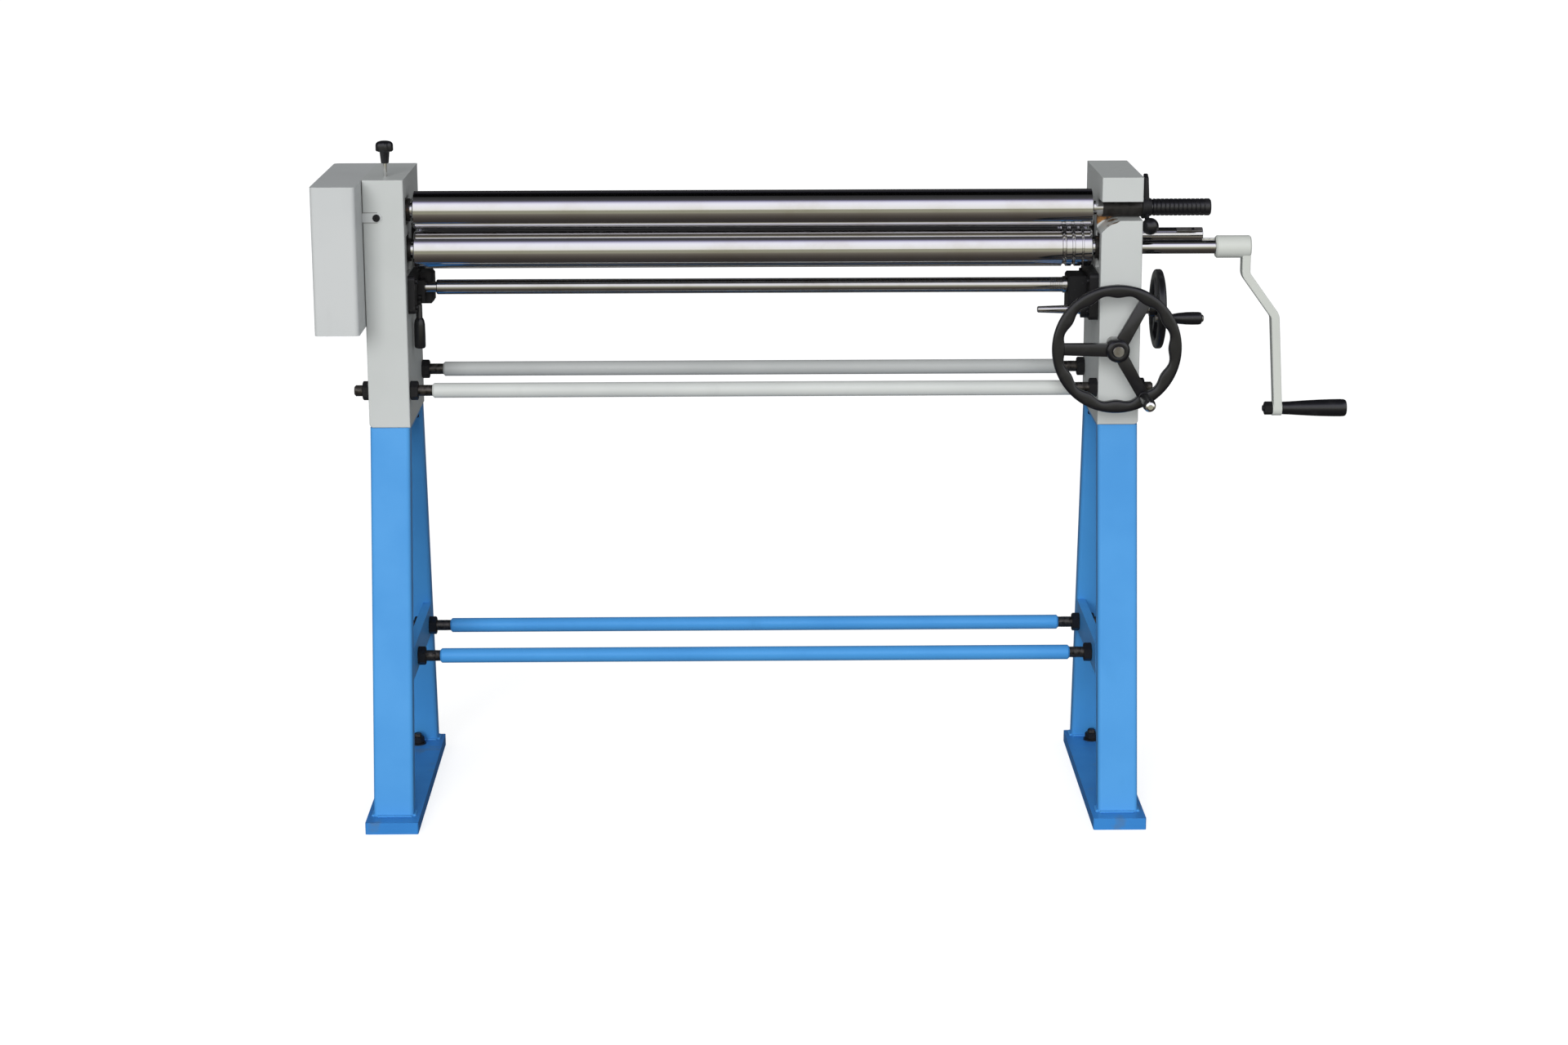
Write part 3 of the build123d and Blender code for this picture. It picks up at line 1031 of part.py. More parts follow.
with BuildPart() as bend_handle:
    near, far = BEND_HANDLE_Y
    turned_y([(far, 10), (far + 3, 12), (far + 25, 13), (far + 50, 12), (near - 10, 11), (near - 3, 11.5), (near, 10)],
             BEND_PIN_X, BEND_PIN_Z)
    bar_y(BEND_PIN_D + 2 * RUN, BEND_PIN_X, (near + GAP, far - GAP), BEND_PIN_Z, Mode.SUBTRACT)
save(bend_handle, "bend_handle")

with BuildPart() as bend_handle_pin:
    near, far = BEND_HANDLE_Y
    back = -BEND_WHEEL_Y + BEND_RIM_D / 2
    turned_y([(far - 6, 5), (far - 4, 9), (far - GAP, 10), (far - GAP, BEND_PIN_D / 2),
              (back, BEND_PIN_D / 2), (back, 8), (back + 6, 8)],
             BEND_PIN_X, BEND_PIN_Z)
save(bend_handle_pin, "bend_handle_pin")

# ---------------------------------------------------------------- side handwheel
NIP_PIN_Y = NIP_HANDLE_R * cos(radians(NIP_HANDLE_ANGLE))
NIP_PIN_Z = NIP_Z + NIP_HANDLE_R * sin(radians(NIP_HANDLE_ANGLE))
NIP_PIN_D = 8.0

with BuildPart() as nip_handwheel:
    rim_mid = NIP_WHEEL_D / 2 - NIP_RIM_D / 2
    with BuildSketch(Plane.XY.offset(NIP_Z)):
        with Locations((NIP_WHEEL_X, rim_mid)):
            RectangleRounded(NIP_RIM_D, NIP_RIM_D, 6)
    revolve(axis=Axis((0, 0, NIP_Z), (1, 0, 0)))
    for spoke in range(SPOKES):
        degrees = NIP_HANDLE_ANGLE + 120 * spoke
        root, tip = NIP_HUB_D / 2 - SPOKE_ROOT, NIP_WHEEL_D / 2 - NIP_RIM_D + SPOKE_BITE
        sy, sz = polar(0, NIP_Z, (root + tip) / 2, degrees)
        with Locations(Location((NIP_WHEEL_X, sy, sz), (degrees, 0, 0))):
            Box(NIP_SPOKE_T, tip - root, NIP_SPOKE_W)
    turned_x([(NIP_HUB[0], NIP_HUB_D / 2 - 2), (NIP_HUB[0] + 2, NIP_HUB_D / 2), (NIP_HUB[1] - 2, NIP_HUB_D / 2),
              (NIP_HUB[1], NIP_HUB_D / 2 - 2)], 0, NIP_Z)
    bar_x(NIP_SHAFT_D, (NIP_HUB[0] - GAP, NIP_HUB[1] + GAP), 0, NIP_Z, Mode.SUBTRACT)
    bar_x(NIP_BOSS_D, (NIP_WHEEL_X - NIP_RIM_D / 2, NIP_WHEEL_X + NIP_RIM_D / 2), NIP_PIN_Y, NIP_PIN_Z)
    bar_x(NIP_PIN_D, (NIP_WHEEL_X - NIP_RIM_D, NIP_WHEEL_X + NIP_RIM_D), NIP_PIN_Y, NIP_PIN_Z, Mode.SUBTRACT)
save(nip_handwheel, "nip_handwheel")

with BuildPart() as nip_shaft:
    turned_x([(NIP_NOSE_END, NIP_NOSE_D2 / 2 - 1.5), (NIP_NOSE_END + 1.5, NIP_NOSE_D2 / 2),
              (NIP_NOSE_START - 3, NIP_NOSE_D1 / 2), (NIP_NOSE_START - 3, NIP_SHAFT_D / 2),
              (SCREW_X + NIP_BEVEL_FRONT, NIP_SHAFT_D / 2),
              (SCREW_X + NIP_BEVEL_FRONT, NIP_BEVEL_FRONT - BEVEL_GAP),
              (SCREW_X + NIP_BEVEL_BACK, NIP_BEVEL_BACK - BEVEL_GAP), (SCREW_X + NIP_BEVEL_BACK, NIP_SHAFT_D / 2),
              (NIP_HUB[1] + 1, NIP_SHAFT_D / 2), (NIP_HUB[1] + 2, NIP_SHAFT_D / 2 - 1)], 0, NIP_Z)
save(nip_shaft, "nip_shaft")

NIP_HANDLE_NEAR = NIP_WHEEL_X + NIP_RIM_D / 2 + GAP
NIP_HANDLE_X = (NIP_HANDLE_NEAR, NIP_HANDLE_NEAR + NIP_HANDLE_L)

with BuildPart() as nip_handle:
    near, far = NIP_HANDLE_X
    turned_x([(near, 8), (near + 12, 9), (near + 30, 12), (near + 50, 13), (far - 5, 12), (far, 9)], NIP_PIN_Y, NIP_PIN_Z)
    bar_x(NIP_PIN_D + 2 * RUN, (near - GAP, far + GAP), NIP_PIN_Y, NIP_PIN_Z, Mode.SUBTRACT)
save(nip_handle, "nip_handle")

with BuildPart() as nip_handle_pin:
    near, far = NIP_HANDLE_X
    back = NIP_WHEEL_X - NIP_RIM_D / 2
    turned_x([(back - 4, 7), (back, 7), (back, NIP_PIN_D / 2),
              (far + FREE, NIP_PIN_D / 2), (far + FREE, 7), (far + 2, 7), (far + 3.5, 5)], NIP_PIN_Y, NIP_PIN_Z)
save(nip_handle_pin, "nip_handle_pin")

# ---------------------------------------------------------------- tie bars
UPPER_TIE_END = OUTER + TIE_TIP
LOWER_TIE_END = FRAME_MID - POST_WIDTH / 2 + STRAP_T + LOWER_TIE_TIP


def tie_bar(y, z, end):
    """Round bar with turned-down ends, from one side to the other."""
    body = TIE_D / 2
    neck = TIE_END_D / 2
    with BuildPart() as tie:
        turned_x([(-end, neck - 3), (-end + 3, neck), (-TIE_BODY_HALF, neck), (-TIE_BODY_HALF + TIE_CHAMFER, body),
                  (TIE_BODY_HALF - TIE_CHAMFER, body), (TIE_BODY_HALF, neck), (end - 3, neck), (end, neck - 3)], y, z)
    return tie


save(tie_bar(TIE_FRONT_Y, UPPER_TIE_Z, UPPER_TIE_END), "upper_front_tie")
save(tie_bar(TIE_REAR_Y, UPPER_TIE_Z, UPPER_TIE_END), "upper_rear_tie")
save(tie_bar(TIE_FRONT_Y, LOWER_TIE_Z, LOWER_TIE_END), "lower_front_tie")
save(tie_bar(TIE_REAR_Y, LOWER_TIE_Z, LOWER_TIE_END), "lower_rear_tie")

full_nut = hex_nut(TIE_NUT_AF, TIE_NUT_T, TIE_END_D)
thin_nut = hex_nut(TIE_NUT_AF, TIE_NUT_T - 3, TIE_END_D)


def tie_nuts(z, inner, outer):
    """Eight nuts that clamp one pair of tie bars, inside and outside of both walls."""
    with BuildPart() as nuts:
        for y in (TIE_FRONT_Y, TIE_REAR_Y):
            with Locations(Location((-inner, y, z), (0, 90, 0)), Location((inner - TIE_NUT_T, y, z), (0, 90, 0))):
                add(full_nut)
            with Locations(Location((-outer - TIE_NUT_T + 3, y, z), (0, 90, 0)), Location((outer, y, z), (0, 90, 0))):
                add(thin_nut)
    return nuts


STRAP_X = (FRAME_MID - POST_WIDTH / 2, FRAME_MID - POST_WIDTH / 2 + STRAP_T)
save(tie_nuts(UPPER_TIE_Z, INNER, OUTER), "upper_tie_nuts")
save(tie_nuts(LOWER_TIE_Z, STRAP_X[0], STRAP_X[1]), "lower_tie_nuts")


# ---------------------------------------------------------------- stand
def post(side, y_low, y_high):
    """Raked rectangular tube between the base plate and the casting, given by its front edge."""
    rise = STAND_TOP - PLATE_T
    run = y_high - y_low
    with BuildPart() as tube:
        with BuildSketch(Plane.XY.offset(PLATE_T)):
            with Locations((side * FRAME_MID, y_low + POST_RUN / 2)):
                RectangleRounded(POST_WIDTH, POST_RUN, POST_CORNER)
                RectangleRounded(POST_WIDTH - 2 * POST_WALL, POST_RUN - 2 * POST_WALL, POST_CORNER - POST_WALL,
                                 mode=Mode.SUBTRACT)
        extrude(amount=(rise**2 + run**2) ** 0.5, dir=(0, run, rise))
    return tube


def base_plate(side):
    """Thick floor plate of one leg with its foot bolt and anchor holes."""
    with BuildPart() as plate:
        block(span(side, FRAME_MID - PLATE_WIDTH / 2, FRAME_MID + PLATE_WIDTH / 2), (-PLATE_FRONT, PLATE_REAR),
              (0, PLATE_T))
        chamfer(plate.edges().filter_by(Axis.Z), 2)
        for y in (-FOOT_BOLT_FRONT, FOOT_BOLT_REAR):
            bar_z(FOOT_BOLT_D + 2 * FREE, side * FRAME_MID, y, (-GAP, PLATE_T + GAP), Mode.SUBTRACT)
        for y in (-ANCHOR_HALF_SPACING, ANCHOR_HALF_SPACING):
            bar_z(ANCHOR_HOLE_D, side * FRAME_MID, y, (-GAP, PLATE_T + GAP), Mode.SUBTRACT)
    return plate


def strap(side):
    """Flat bar across a leg that carries the lower tie bars."""
    with BuildPart() as bar:
        between_posts(side, STRAP_X[0], STRAP_X[1], STRAP_LOW, STRAP_HIGH)
        for y in (TIE_FRONT_Y, TIE_REAR_Y):
            bar_x(TIE_END_D + 2 * FREE, span(side, STRAP_X[0] - GAP, STRAP_X[1] + GAP), y, LOWER_TIE_Z, Mode.SUBTRACT)
    return bar


for side, word in ((LEFT, "left"), (RIGHT, "right")):
    save(post(side, front_post_y(PLATE_T), front_post_y(STAND_TOP)), f"{word}_front_post")
    save(post(side, rear_post_y(PLATE_T) - POST_RUN, rear_post_y(STAND_TOP) - POST_RUN), f"{word}_rear_post")
    save(base_plate(side), f"{word}_base_plate")
    save(strap(side), f"{word}_strap")

with BuildPart() as cap_plates:
    for side in (LEFT, RIGHT):
        between_posts(side, FRAME_MID - CAP_HALF, FRAME_MID + CAP_HALF, STAND_TOP - CAP_T, STAND_TOP)
        for bolt_y in FRAME_BOLT_YS:
            for bolt_x in (FRAME_MID - FRAME_BOLT_X, FRAME_MID + FRAME_BOLT_X):
                bar_z(FRAME_BOLT_D, side * bolt_x, bolt_y, (STAND_TOP - CAP_T - GAP, STAND_TOP + GAP), Mode.SUBTRACT)
save(cap_plates, "cap_plates")

bolt_head = hex_nut(24.0, 10.0)
foot_nut = hex_nut(24.0, 13.0, FOOT_BOLT_D)

with BuildPart() as frame_bolts:
    for side in (LEFT, RIGHT):
        for bolt_y in FRAME_BOLT_YS:
            for bolt_x in (FRAME_MID - FRAME_BOLT_X, FRAME_MID + FRAME_BOLT_X):
                with Locations((side * bolt_x, bolt_y, STAND_TOP - CAP_T - 10)):
                    add(bolt_head)
                bar_z(FRAME_BOLT_D, side * bolt_x, bolt_y, (STAND_TOP - CAP_T - 5, STAND_TOP + FRAME_BOLT_BITE))
save(frame_bolts, "frame_bolts")

with BuildPart() as foot_bolts:
    for side in (LEFT, RIGHT):
        for y in (-FOOT_BOLT_FRONT, FOOT_BOLT_REAR):
            bar_z(34, side * FRAME_MID, y, (PLATE_T, PLATE_T + 3))
            with Locations((side * FRAME_MID, y, PLATE_T + 3)):
                add(foot_nut)
            turned_z([(FOOT_BOLT_D / 2, 1), (FOOT_BOLT_D / 2, PLATE_T + 22), (FOOT_BOLT_D / 2 - 1.5, PLATE_T + 24)],
                     side * FRAME_MID, y)
save(foot_bolts, "foot_bolts")
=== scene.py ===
from math import atan2, cos, pi, radians, sin, sqrt

import bmesh
import bpy
from mathutils import Matrix, Vector


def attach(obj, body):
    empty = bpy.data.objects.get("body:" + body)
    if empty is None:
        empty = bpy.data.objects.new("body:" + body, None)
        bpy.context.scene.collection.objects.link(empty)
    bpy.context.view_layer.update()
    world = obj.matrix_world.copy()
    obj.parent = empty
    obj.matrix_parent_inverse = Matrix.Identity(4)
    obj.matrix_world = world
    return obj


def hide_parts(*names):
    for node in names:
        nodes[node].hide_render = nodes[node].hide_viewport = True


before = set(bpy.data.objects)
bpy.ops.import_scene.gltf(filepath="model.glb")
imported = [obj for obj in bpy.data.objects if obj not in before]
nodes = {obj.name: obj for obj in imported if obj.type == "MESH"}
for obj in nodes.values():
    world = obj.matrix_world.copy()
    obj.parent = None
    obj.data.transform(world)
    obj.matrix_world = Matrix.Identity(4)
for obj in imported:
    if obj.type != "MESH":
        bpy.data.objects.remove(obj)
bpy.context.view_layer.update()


# ------------------------------------------------------------------ studio
# A pale floor, a white surround, one soft lamp from the front and a workshop-like
# surround for the polished steel: bright in front and above, dark behind.


class Wire:
    """One value on its way through a finish; arithmetic on it adds Math nodes."""

    def __init__(self, sheet, socket):
        self.sheet = sheet
        self.socket = socket

    def maths(self, operation, other, swapped=False):
        first, second = (other, self) if swapped else (self, other)
        return self.sheet.node("ShaderNodeMath", {"operation": operation}, {0: first, 1: second})

    def __add__(self, other):
        return self.maths("ADD", other)

    def __radd__(self, other):
        return self.maths("ADD", other, True)

    def __sub__(self, other):
        return self.maths("SUBTRACT", other)

    def __rsub__(self, other):
        return self.maths("SUBTRACT", other, True)

    def __mul__(self, other):
        return self.maths("MULTIPLY", other)

    def __rmul__(self, other):
        return self.maths("MULTIPLY", other, True)

    def __gt__(self, other):
        return self.maths("GREATER_THAN", other)

    def __lt__(self, other):
        return self.maths("LESS_THAN", other)


class NodeSheet:
    """The node tree of a finish, a floor or the surround."""

    def __init__(self, tree):
        self.tree = tree

    def node(self, kind, settings=None, inputs=None, output=0):
        made = self.tree.nodes.new(kind)
        for name, value in (settings or {}).items():
            if name == "stops":
                ramp = made.color_ramp
                while len(ramp.elements) < len(value):
                    ramp.elements.new(0.5)
                for element, (position, shade) in zip(ramp.elements, value):
                    element.position = position
                    element.color = (shade, shade, shade, 1) if isinstance(shade, float) else (*shade, 1)
            else:
                setattr(made, name, value)
        for name, value in (inputs or {}).items():
            if isinstance(value, Wire):
                self.tree.links.new(value.socket, made.inputs[name])
            else:
                made.inputs[name].default_value = value
        return Wire(self, made.outputs[output]) if made.outputs else None

    def tint(self, mask, under, over):
        under, over = ((*c, 1) if isinstance(c, tuple) else c for c in (under, over))
        return self.node("ShaderNodeMix", {"data_type": "RGBA"}, {0: mask, 6: under, 7: over}, 2)


surround = bpy.data.worlds.new("surround")
bpy.context.scene.world = surround
surround.use_nodes = True
sky = NodeSheet(surround.node_tree)
sky.tree.nodes.clear()
direction = sky.node("ShaderNodeTexCoord", output="Generated")
behind = sky.node("ShaderNodeSeparateXYZ", inputs={0: direction}, output="Y")
up = sky.node("ShaderNodeSeparateXYZ", inputs={0: direction}, output="Z")
elevation = sky.node("ShaderNodeValToRGB", {"stops": [
    (0.0, (0.05, 0.045, 0.04)), (0.49, (0.47, 0.47, 0.33)), (0.53, (1.05, 1.05, 1.0)), (0.64, (1.15, 1.15, 1.15)),
    (0.80, (1.2, 1.2, 1.3)), (0.86, (0.95, 0.94, 1.12)), (0.905, (0.34, 0.32, 0.5)), (0.935, (0.10, 0.10, 0.11)),
    (1.0, (0.04, 0.04, 0.04))]}, {0: up * 0.5 + 0.5})
in_front = sky.node("ShaderNodeMapRange", {"interpolation_type": "SMOOTHSTEP"},
                    {"Value": behind, "From Min": 0.08, "From Max": -0.04, "To Min": 0.03, "To Max": 1.0})
mirrored = sky.node("ShaderNodeMix", {"data_type": "RGBA", "blend_type": "MULTIPLY"},
                    {0: 1.0, 6: elevation, 7: in_front}, 2)
glossy_ray = sky.node("ShaderNodeLightPath", output="Is Glossy Ray")
camera_ray = sky.node("ShaderNodeLightPath", output="Is Camera Ray")
plain = sky.tint(glossy_ray, (0.41, 0.42, 0.43), mirrored)
seen = sky.tint(camera_ray, plain, (1.0, 1.0, 1.0))
light = sky.node("ShaderNodeBackground", inputs={"Color": seen, "Strength": 1.0})
sky.node("ShaderNodeOutputWorld", inputs={"Surface": light})

bpy.ops.object.select_all(action="DESELECT")
floor_radius = 120
bpy.ops.mesh.primitive_circle_add(vertices=96, radius=floor_radius, fill_type="NGON", location=(0, 0, 0))
floor = bpy.context.object
floor.name = "floor"
floor_paint = bpy.data.materials.new("floor_paint")
floor_paint.use_nodes = True
floor_sheet = NodeSheet(floor_paint.node_tree)
floor_seen = floor_sheet.node("ShaderNodeLightPath", output="Is Camera Ray")
floor_mirrored = floor_sheet.node("ShaderNodeLightPath", output="Is Glossy Ray")
# what the polished steel mirrors: a brown workshop floor, with painted shade that makes it darkest under the machine
floor_place = floor_sheet.node("ShaderNodeTexCoord", output="Object")
floor_y = floor_sheet.node("ShaderNodeSeparateXYZ", inputs={0: floor_place}, output="Y")
ramp_start, ramp_share = 4.0, 0.1667
floor_brown_and_shade = floor_sheet.node("ShaderNodeValToRGB", {"stops": [
    (0.0, (0.62, 0.60, 0.44)), (0.15, (0.40, 0.36, 0.29)), (0.43, (0.18, 0.155, 0.13)), (0.55, (0.10, 0.085, 0.075)),
    (0.68, (0.08, 0.07, 0.065)), (0.77, (0.10, 0.095, 0.085)), (1.0, (0.16, 0.155, 0.145))]},
    {0: (floor_y + ramp_start) * ramp_share})
floor_unseen = floor_sheet.tint(floor_mirrored, (0.42, 0.42, 0.41), floor_brown_and_shade)
floor_colour = floor_sheet.tint(floor_seen, floor_unseen, (0.50, 0.50, 0.50))
floor_shader = floor_paint.node_tree.nodes["Principled BSDF"]
floor_paint.node_tree.links.new(floor_colour.socket, floor_shader.inputs["Base Color"])
floor_glow = floor_sheet.tint(floor_seen, (0.0, 0.0, 0.0), (1.0, 1.0, 1.0))
floor_paint.node_tree.links.new(floor_glow.socket, floor_shader.inputs["Emission Color"])
floor_shader.inputs["Emission Strength"].default_value = 0.76
floor_shader.inputs["Roughness"].default_value = 0.9
floor_shader.inputs["Specular IOR Level"].default_value = 0.0
floor.data.materials.append(floor_paint)


def lamp(name, strength, spread, azimuth, elevation, mirrored):
    """A soft distant lamp; azimuth 0 is straight in front, positive to the right."""
    bpy.ops.object.light_add(type="SUN")
    made = bpy.context.object
    made.name = name
    made.data.energy = strength
    made.data.angle = radians(spread)
    towards = Vector((sin(radians(azimuth)) * cos(radians(elevation)), -cos(radians(azimuth)) * cos(radians(elevation)),
                      sin(radians(elevation))))
    made.rotation_euler = towards.to_track_quat("Z", "Y").to_euler()
    made.visible_glossy = mirrored


lamp("front_lamp", strength=2.15, spread=30, azimuth=-8, elevation=17, mirrored=False)

camera_data = bpy.data.cameras.new("camera")
camera = bpy.data.objects.new("camera", camera_data)
bpy.context.collection.objects.link(camera)
# the view that was fitted to the picture: where the eye is, how it leans, and its focal length in pixels
film_width, picture_width, focal_length = 36.0, 1920, 3740.6
eye = (-0.0213, -6.0719, 2.0548)
pitch, yaw, roll = 0.2386, 0.0134, -0.002
camera_data.sensor_width = film_width
camera_data.lens = focal_length / picture_width * film_width
ahead = Vector((sin(yaw) * cos(pitch), cos(yaw) * cos(pitch), -sin(pitch)))
level = Vector((cos(yaw), -sin(yaw), 0))
above = level.cross(ahead)
right = level * cos(roll) + above * sin(roll)
top = above * cos(roll) - level * sin(roll)
camera.matrix_world = Matrix((
    (right.x, top.x, -ahead.x, eye[0]),
    (right.y, top.y, -ahead.y, eye[1]),
    (right.z, top.z, -ahead.z, eye[2]),
    (0, 0, 0, 1)))
bpy.context.scene.camera = camera
bpy.context.scene.view_settings.view_transform = "Standard"


# ------------------------------------------------------------------ side frames
# Two grey-iron castings, machined on the faces and slots, filled and sprayed with
# off-white machine enamel; bolted to the stand and tied by the upper bars.


class Finish(NodeSheet):
    """A surface finish on one shader; what varies is worked out from the object's own place."""

    def __init__(self, name, metallic=0.0, roughness=0.5, coat=0.0):
        self.material = bpy.data.materials.new(name)
        self.material.use_nodes = True
        super().__init__(self.material.node_tree)
        self.shader = self.tree.nodes["Principled BSDF"]
        self.shader.inputs["Metallic"].default_value = metallic
        self.shader.inputs["Roughness"].default_value = roughness
        self.shader.inputs["Coat Weight"].default_value = coat
        self.place = self.node("ShaderNodeTexCoord", output="Object")

    def noise(self, scale, detail=3.0, stretch=None, rough=0.5):
        place = self.place
        if stretch:
            place = self.node("ShaderNodeMapping", inputs={"Vector": place, "Scale": stretch})
        return self.node("ShaderNodeTexNoise", inputs={"Vector": place, "Scale": scale, "Detail": detail,
                                                       "Roughness": rough})

    def ramp(self, value, low, high):
        return self.node("ShaderNodeMapRange", {"interpolation_type": "SMOOTHSTEP"},
                         {"Value": value, "From Min": low, "From Max": high})

    def axis(self, name):
        return self.node("ShaderNodeSeparateXYZ", inputs={0: self.place}, output=name)

    def bump(self, height, strength, distance, under=None):
        inputs = {"Height": height, "Strength": strength, "Distance": distance}
        if under:
            inputs["Normal"] = under
        return self.node("ShaderNodeBump", inputs=inputs)

    def set(self, name, wire):
        self.tree.links.new(wire.socket, self.shader.inputs[name])


def dress(finish, *names):
    """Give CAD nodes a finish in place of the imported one."""
    for name in names:
        mesh = nodes[name].data
        mesh.materials.clear()
        mesh.materials.append(finish.material)


def enamel(name, colour, shade, roughness):
    """Sprayed machine enamel: slight orange peel, faint clouds and a few dull smears."""
    paint = Finish(name, roughness=roughness)
    clouds = paint.ramp(paint.noise(5.0, 4.0), 0.35, 0.7)
    smears = paint.ramp(paint.noise(9.0, 5.0, (1.0, 1.0, 0.25), 0.6), 0.58, 0.78)
    paint.colour = paint.tint(clouds * 0.5, colour, shade)
    paint.colour = paint.tint(smears * 0.35, paint.colour, tuple(c * 0.78 for c in colour))
    paint.set("Base Color", paint.colour)
    paint.set("Roughness", roughness + clouds * 0.08 + smears * 0.15)
    peel = paint.bump(paint.noise(420.0, 2.0), 0.12, 0.0004)
    paint.set("Normal", paint.bump(paint.noise(38.0, 2.0), 0.10, 0.0012, peel))
    return paint


off_white = (0.60, 0.62, 0.61)
off_white_shade = (0.54, 0.56, 0.545)
casting_gloss = 0.36
# bare and rusty metal where the roll slides over the cut-back inner corner below the open slot
slot_floor, corner_top, corner_x, corner_fall, slot_back = 1.2048, 1.2035, 0.734, 0.52, 0.03
slot_enamel = enamel("slot_enamel", off_white, off_white_shade, casting_gloss)
height = slot_enamel.axis("Z")
across = slot_enamel.axis("X")
ragged = slot_enamel.noise(45.0, 5.0) * 0.012
slope = corner_top - (corner_x - across) * corner_fall + ragged
cut_back = slot_enamel.ramp(height - slope, -0.001, 0.001) * (across < corner_x - 0.001) * (height < slot_floor)
worn = cut_back * (slot_enamel.axis("Y") < slot_back)
rust = slot_enamel.tint(slot_enamel.ramp(slot_enamel.noise(90.0, 6.0), 0.4, 0.62), (0.09, 0.055, 0.03),
                        (0.42, 0.19, 0.05))
slot_enamel.set("Base Color", slot_enamel.tint(worn, slot_enamel.colour, rust))
# painted shadow: thin dark lines along both edges of the cover's front lug and along the cover's edge on the casting
lug_z, lug_half, shade_line_half, lug_end = 1.216, 0.010, 0.0012, -0.742
cover_edge, front_face, cover_bottom = -0.7702, -0.0585, 0.997
left_enamel = enamel("left_enamel", off_white, off_white_shade, casting_gloss)
beside_lug = left_enamel.node("ShaderNodeMath", {"operation": "ABSOLUTE"}, {0: left_enamel.axis("Z") - lug_z})
lug_line = ((beside_lug > lug_half - shade_line_half) * (beside_lug < lug_half + shade_line_half)
            * (left_enamel.axis("X") < lug_end))
cover_line = left_enamel.axis("X") < cover_edge
on_front = (left_enamel.axis("Y") < front_face) * (left_enamel.axis("Z") > cover_bottom)
lug_and_cover_shade = left_enamel.node("ShaderNodeMath", {"operation": "MAXIMUM"}, {0: lug_line, 1: cover_line}) * on_front
left_enamel.set("Base Color", left_enamel.tint(lug_and_cover_shade * 0.6, left_enamel.colour, (0.16, 0.15, 0.14)))
dress(left_enamel, "left_frame")
dress(slot_enamel, "right_frame")


# ------------------------------------------------------------------ gear cover
# A box folded and welded from 2 mm sheet and sprayed like the castings; it slips over
# the left frame's outer face and two bent lugs hold it with black socket screws.

cover_enamel = enamel("cover_enamel", (0.62, 0.635, 0.635), (0.58, 0.60, 0.60), 0.34)
dress(cover_enamel, "gear_cover")

black_oxide = Finish("black_oxide", metallic=0.35, roughness=0.42)
worn_spots = black_oxide.ramp(black_oxide.noise(160.0, 4.0), 0.62, 0.8)
black_oxide.set("Base Color", black_oxide.tint(worn_spots * 0.5, (0.014, 0.014, 0.016), (0.075, 0.07, 0.07)))
black_oxide.set("Roughness", 0.36 + black_oxide.noise(60.0, 3.0) * 0.22)
black_oxide.set("Normal", black_oxide.bump(black_oxide.noise(700.0, 2.0), 0.12, 0.0003))
dress(black_oxide, "cover_screws")


# ------------------------------------------------------------------ rolls
# Three solid bars of carbon steel, turned and ground to 75 mm and polished; the lower
# and the rear one have grooves for wire at the crank's end. All carry an oil film.


def ground_steel(name, colour, oil, smooth):
    """Polished bar: fine rings round the axis along X, streaks of oil and darker bands."""
    steel = Finish(name, metallic=1.0, roughness=smooth)
    rings = steel.noise(1.0, 4.0, (900.0, 2.0, 2.0), 0.6)
    wide_rings = steel.noise(1.0, 3.0, (60.0, 1.5, 1.5))
    film = steel.ramp(steel.noise(1.0, 5.0, (9.0, 14.0, 14.0), 0.6), 0.45, 0.75)
    steel.colour = steel.tint(film * 0.45, colour, oil)
    steel.set("Base Color", steel.colour)
    steel.set("Roughness", smooth + rings * 0.05 + wide_rings * 0.03 + film * 0.04)
    steel.set("Normal", steel.bump(rings, 0.03, 0.0001))
    return steel


roll_steel = ground_steel("roll_steel", (0.68, 0.675, 0.685), (0.56, 0.53, 0.48), 0.05)
dress(roll_steel, "top_roll", "lower_roll", "rear_roll")


# ------------------------------------------------------------------ bearings and lifting gear
# Cast-iron sliding blocks with pressed bushes, the lifting screws and their turning nuts
# and the two roll gears. They sit inside the castings, oiled and dark.

oiled_iron = Finish("oiled_iron", metallic=0.6, roughness=0.42)
grease = oiled_iron.ramp(oiled_iron.noise(70.0, 5.0), 0.4, 0.7)
brown = oiled_iron.ramp(oiled_iron.noise(30.0, 5.0), 0.6, 0.75)
iron_colour = oiled_iron.tint(grease * 0.6, (0.045, 0.042, 0.04), (0.012, 0.011, 0.010))
oiled_iron.set("Base Color", oiled_iron.tint(brown * 0.55, iron_colour, (0.20, 0.085, 0.03)))
oiled_iron.set("Roughness", 0.48 - grease * 0.2)
oiled_iron.set("Normal", oiled_iron.bump(oiled_iron.noise(300.0, 3.0), 0.2, 0.0005))
dress(oiled_iron, "swivel_block", "top_left_bush", "lower_blocks", "rear_blocks", "lower_bushes", "rear_bushes",
      "lock_bush")

machined_steel = Finish("machined_steel", metallic=0.9, roughness=0.35)
turning = machined_steel.noise(1.0, 3.0, (500.0, 500.0, 500.0))
stain = machined_steel.ramp(machined_steel.noise(40.0, 4.0), 0.5, 0.75)
machined_steel.set("Base Color", machined_steel.tint(stain * 0.6, (0.36, 0.35, 0.33), (0.16, 0.13, 0.10)))
machined_steel.set("Roughness", 0.28 + turning * 0.18)
machined_steel.set("Normal", machined_steel.bump(turning, 0.08, 0.0003))
dress(machined_steel, "nip_screws", "rear_screws", "nip_nut", "right_rear_nut", "left_rear_nut", "top_gear",
      "lower_gear", "rear_key", "bend_shaft")


# ------------------------------------------------------------------ lock of the top roll
# A black cam lever on a steel bush that fills the open slot, with a moulded ball to turn
# it by, and a ribbed moulded sleeve on the shaft end to pull the roll out with.

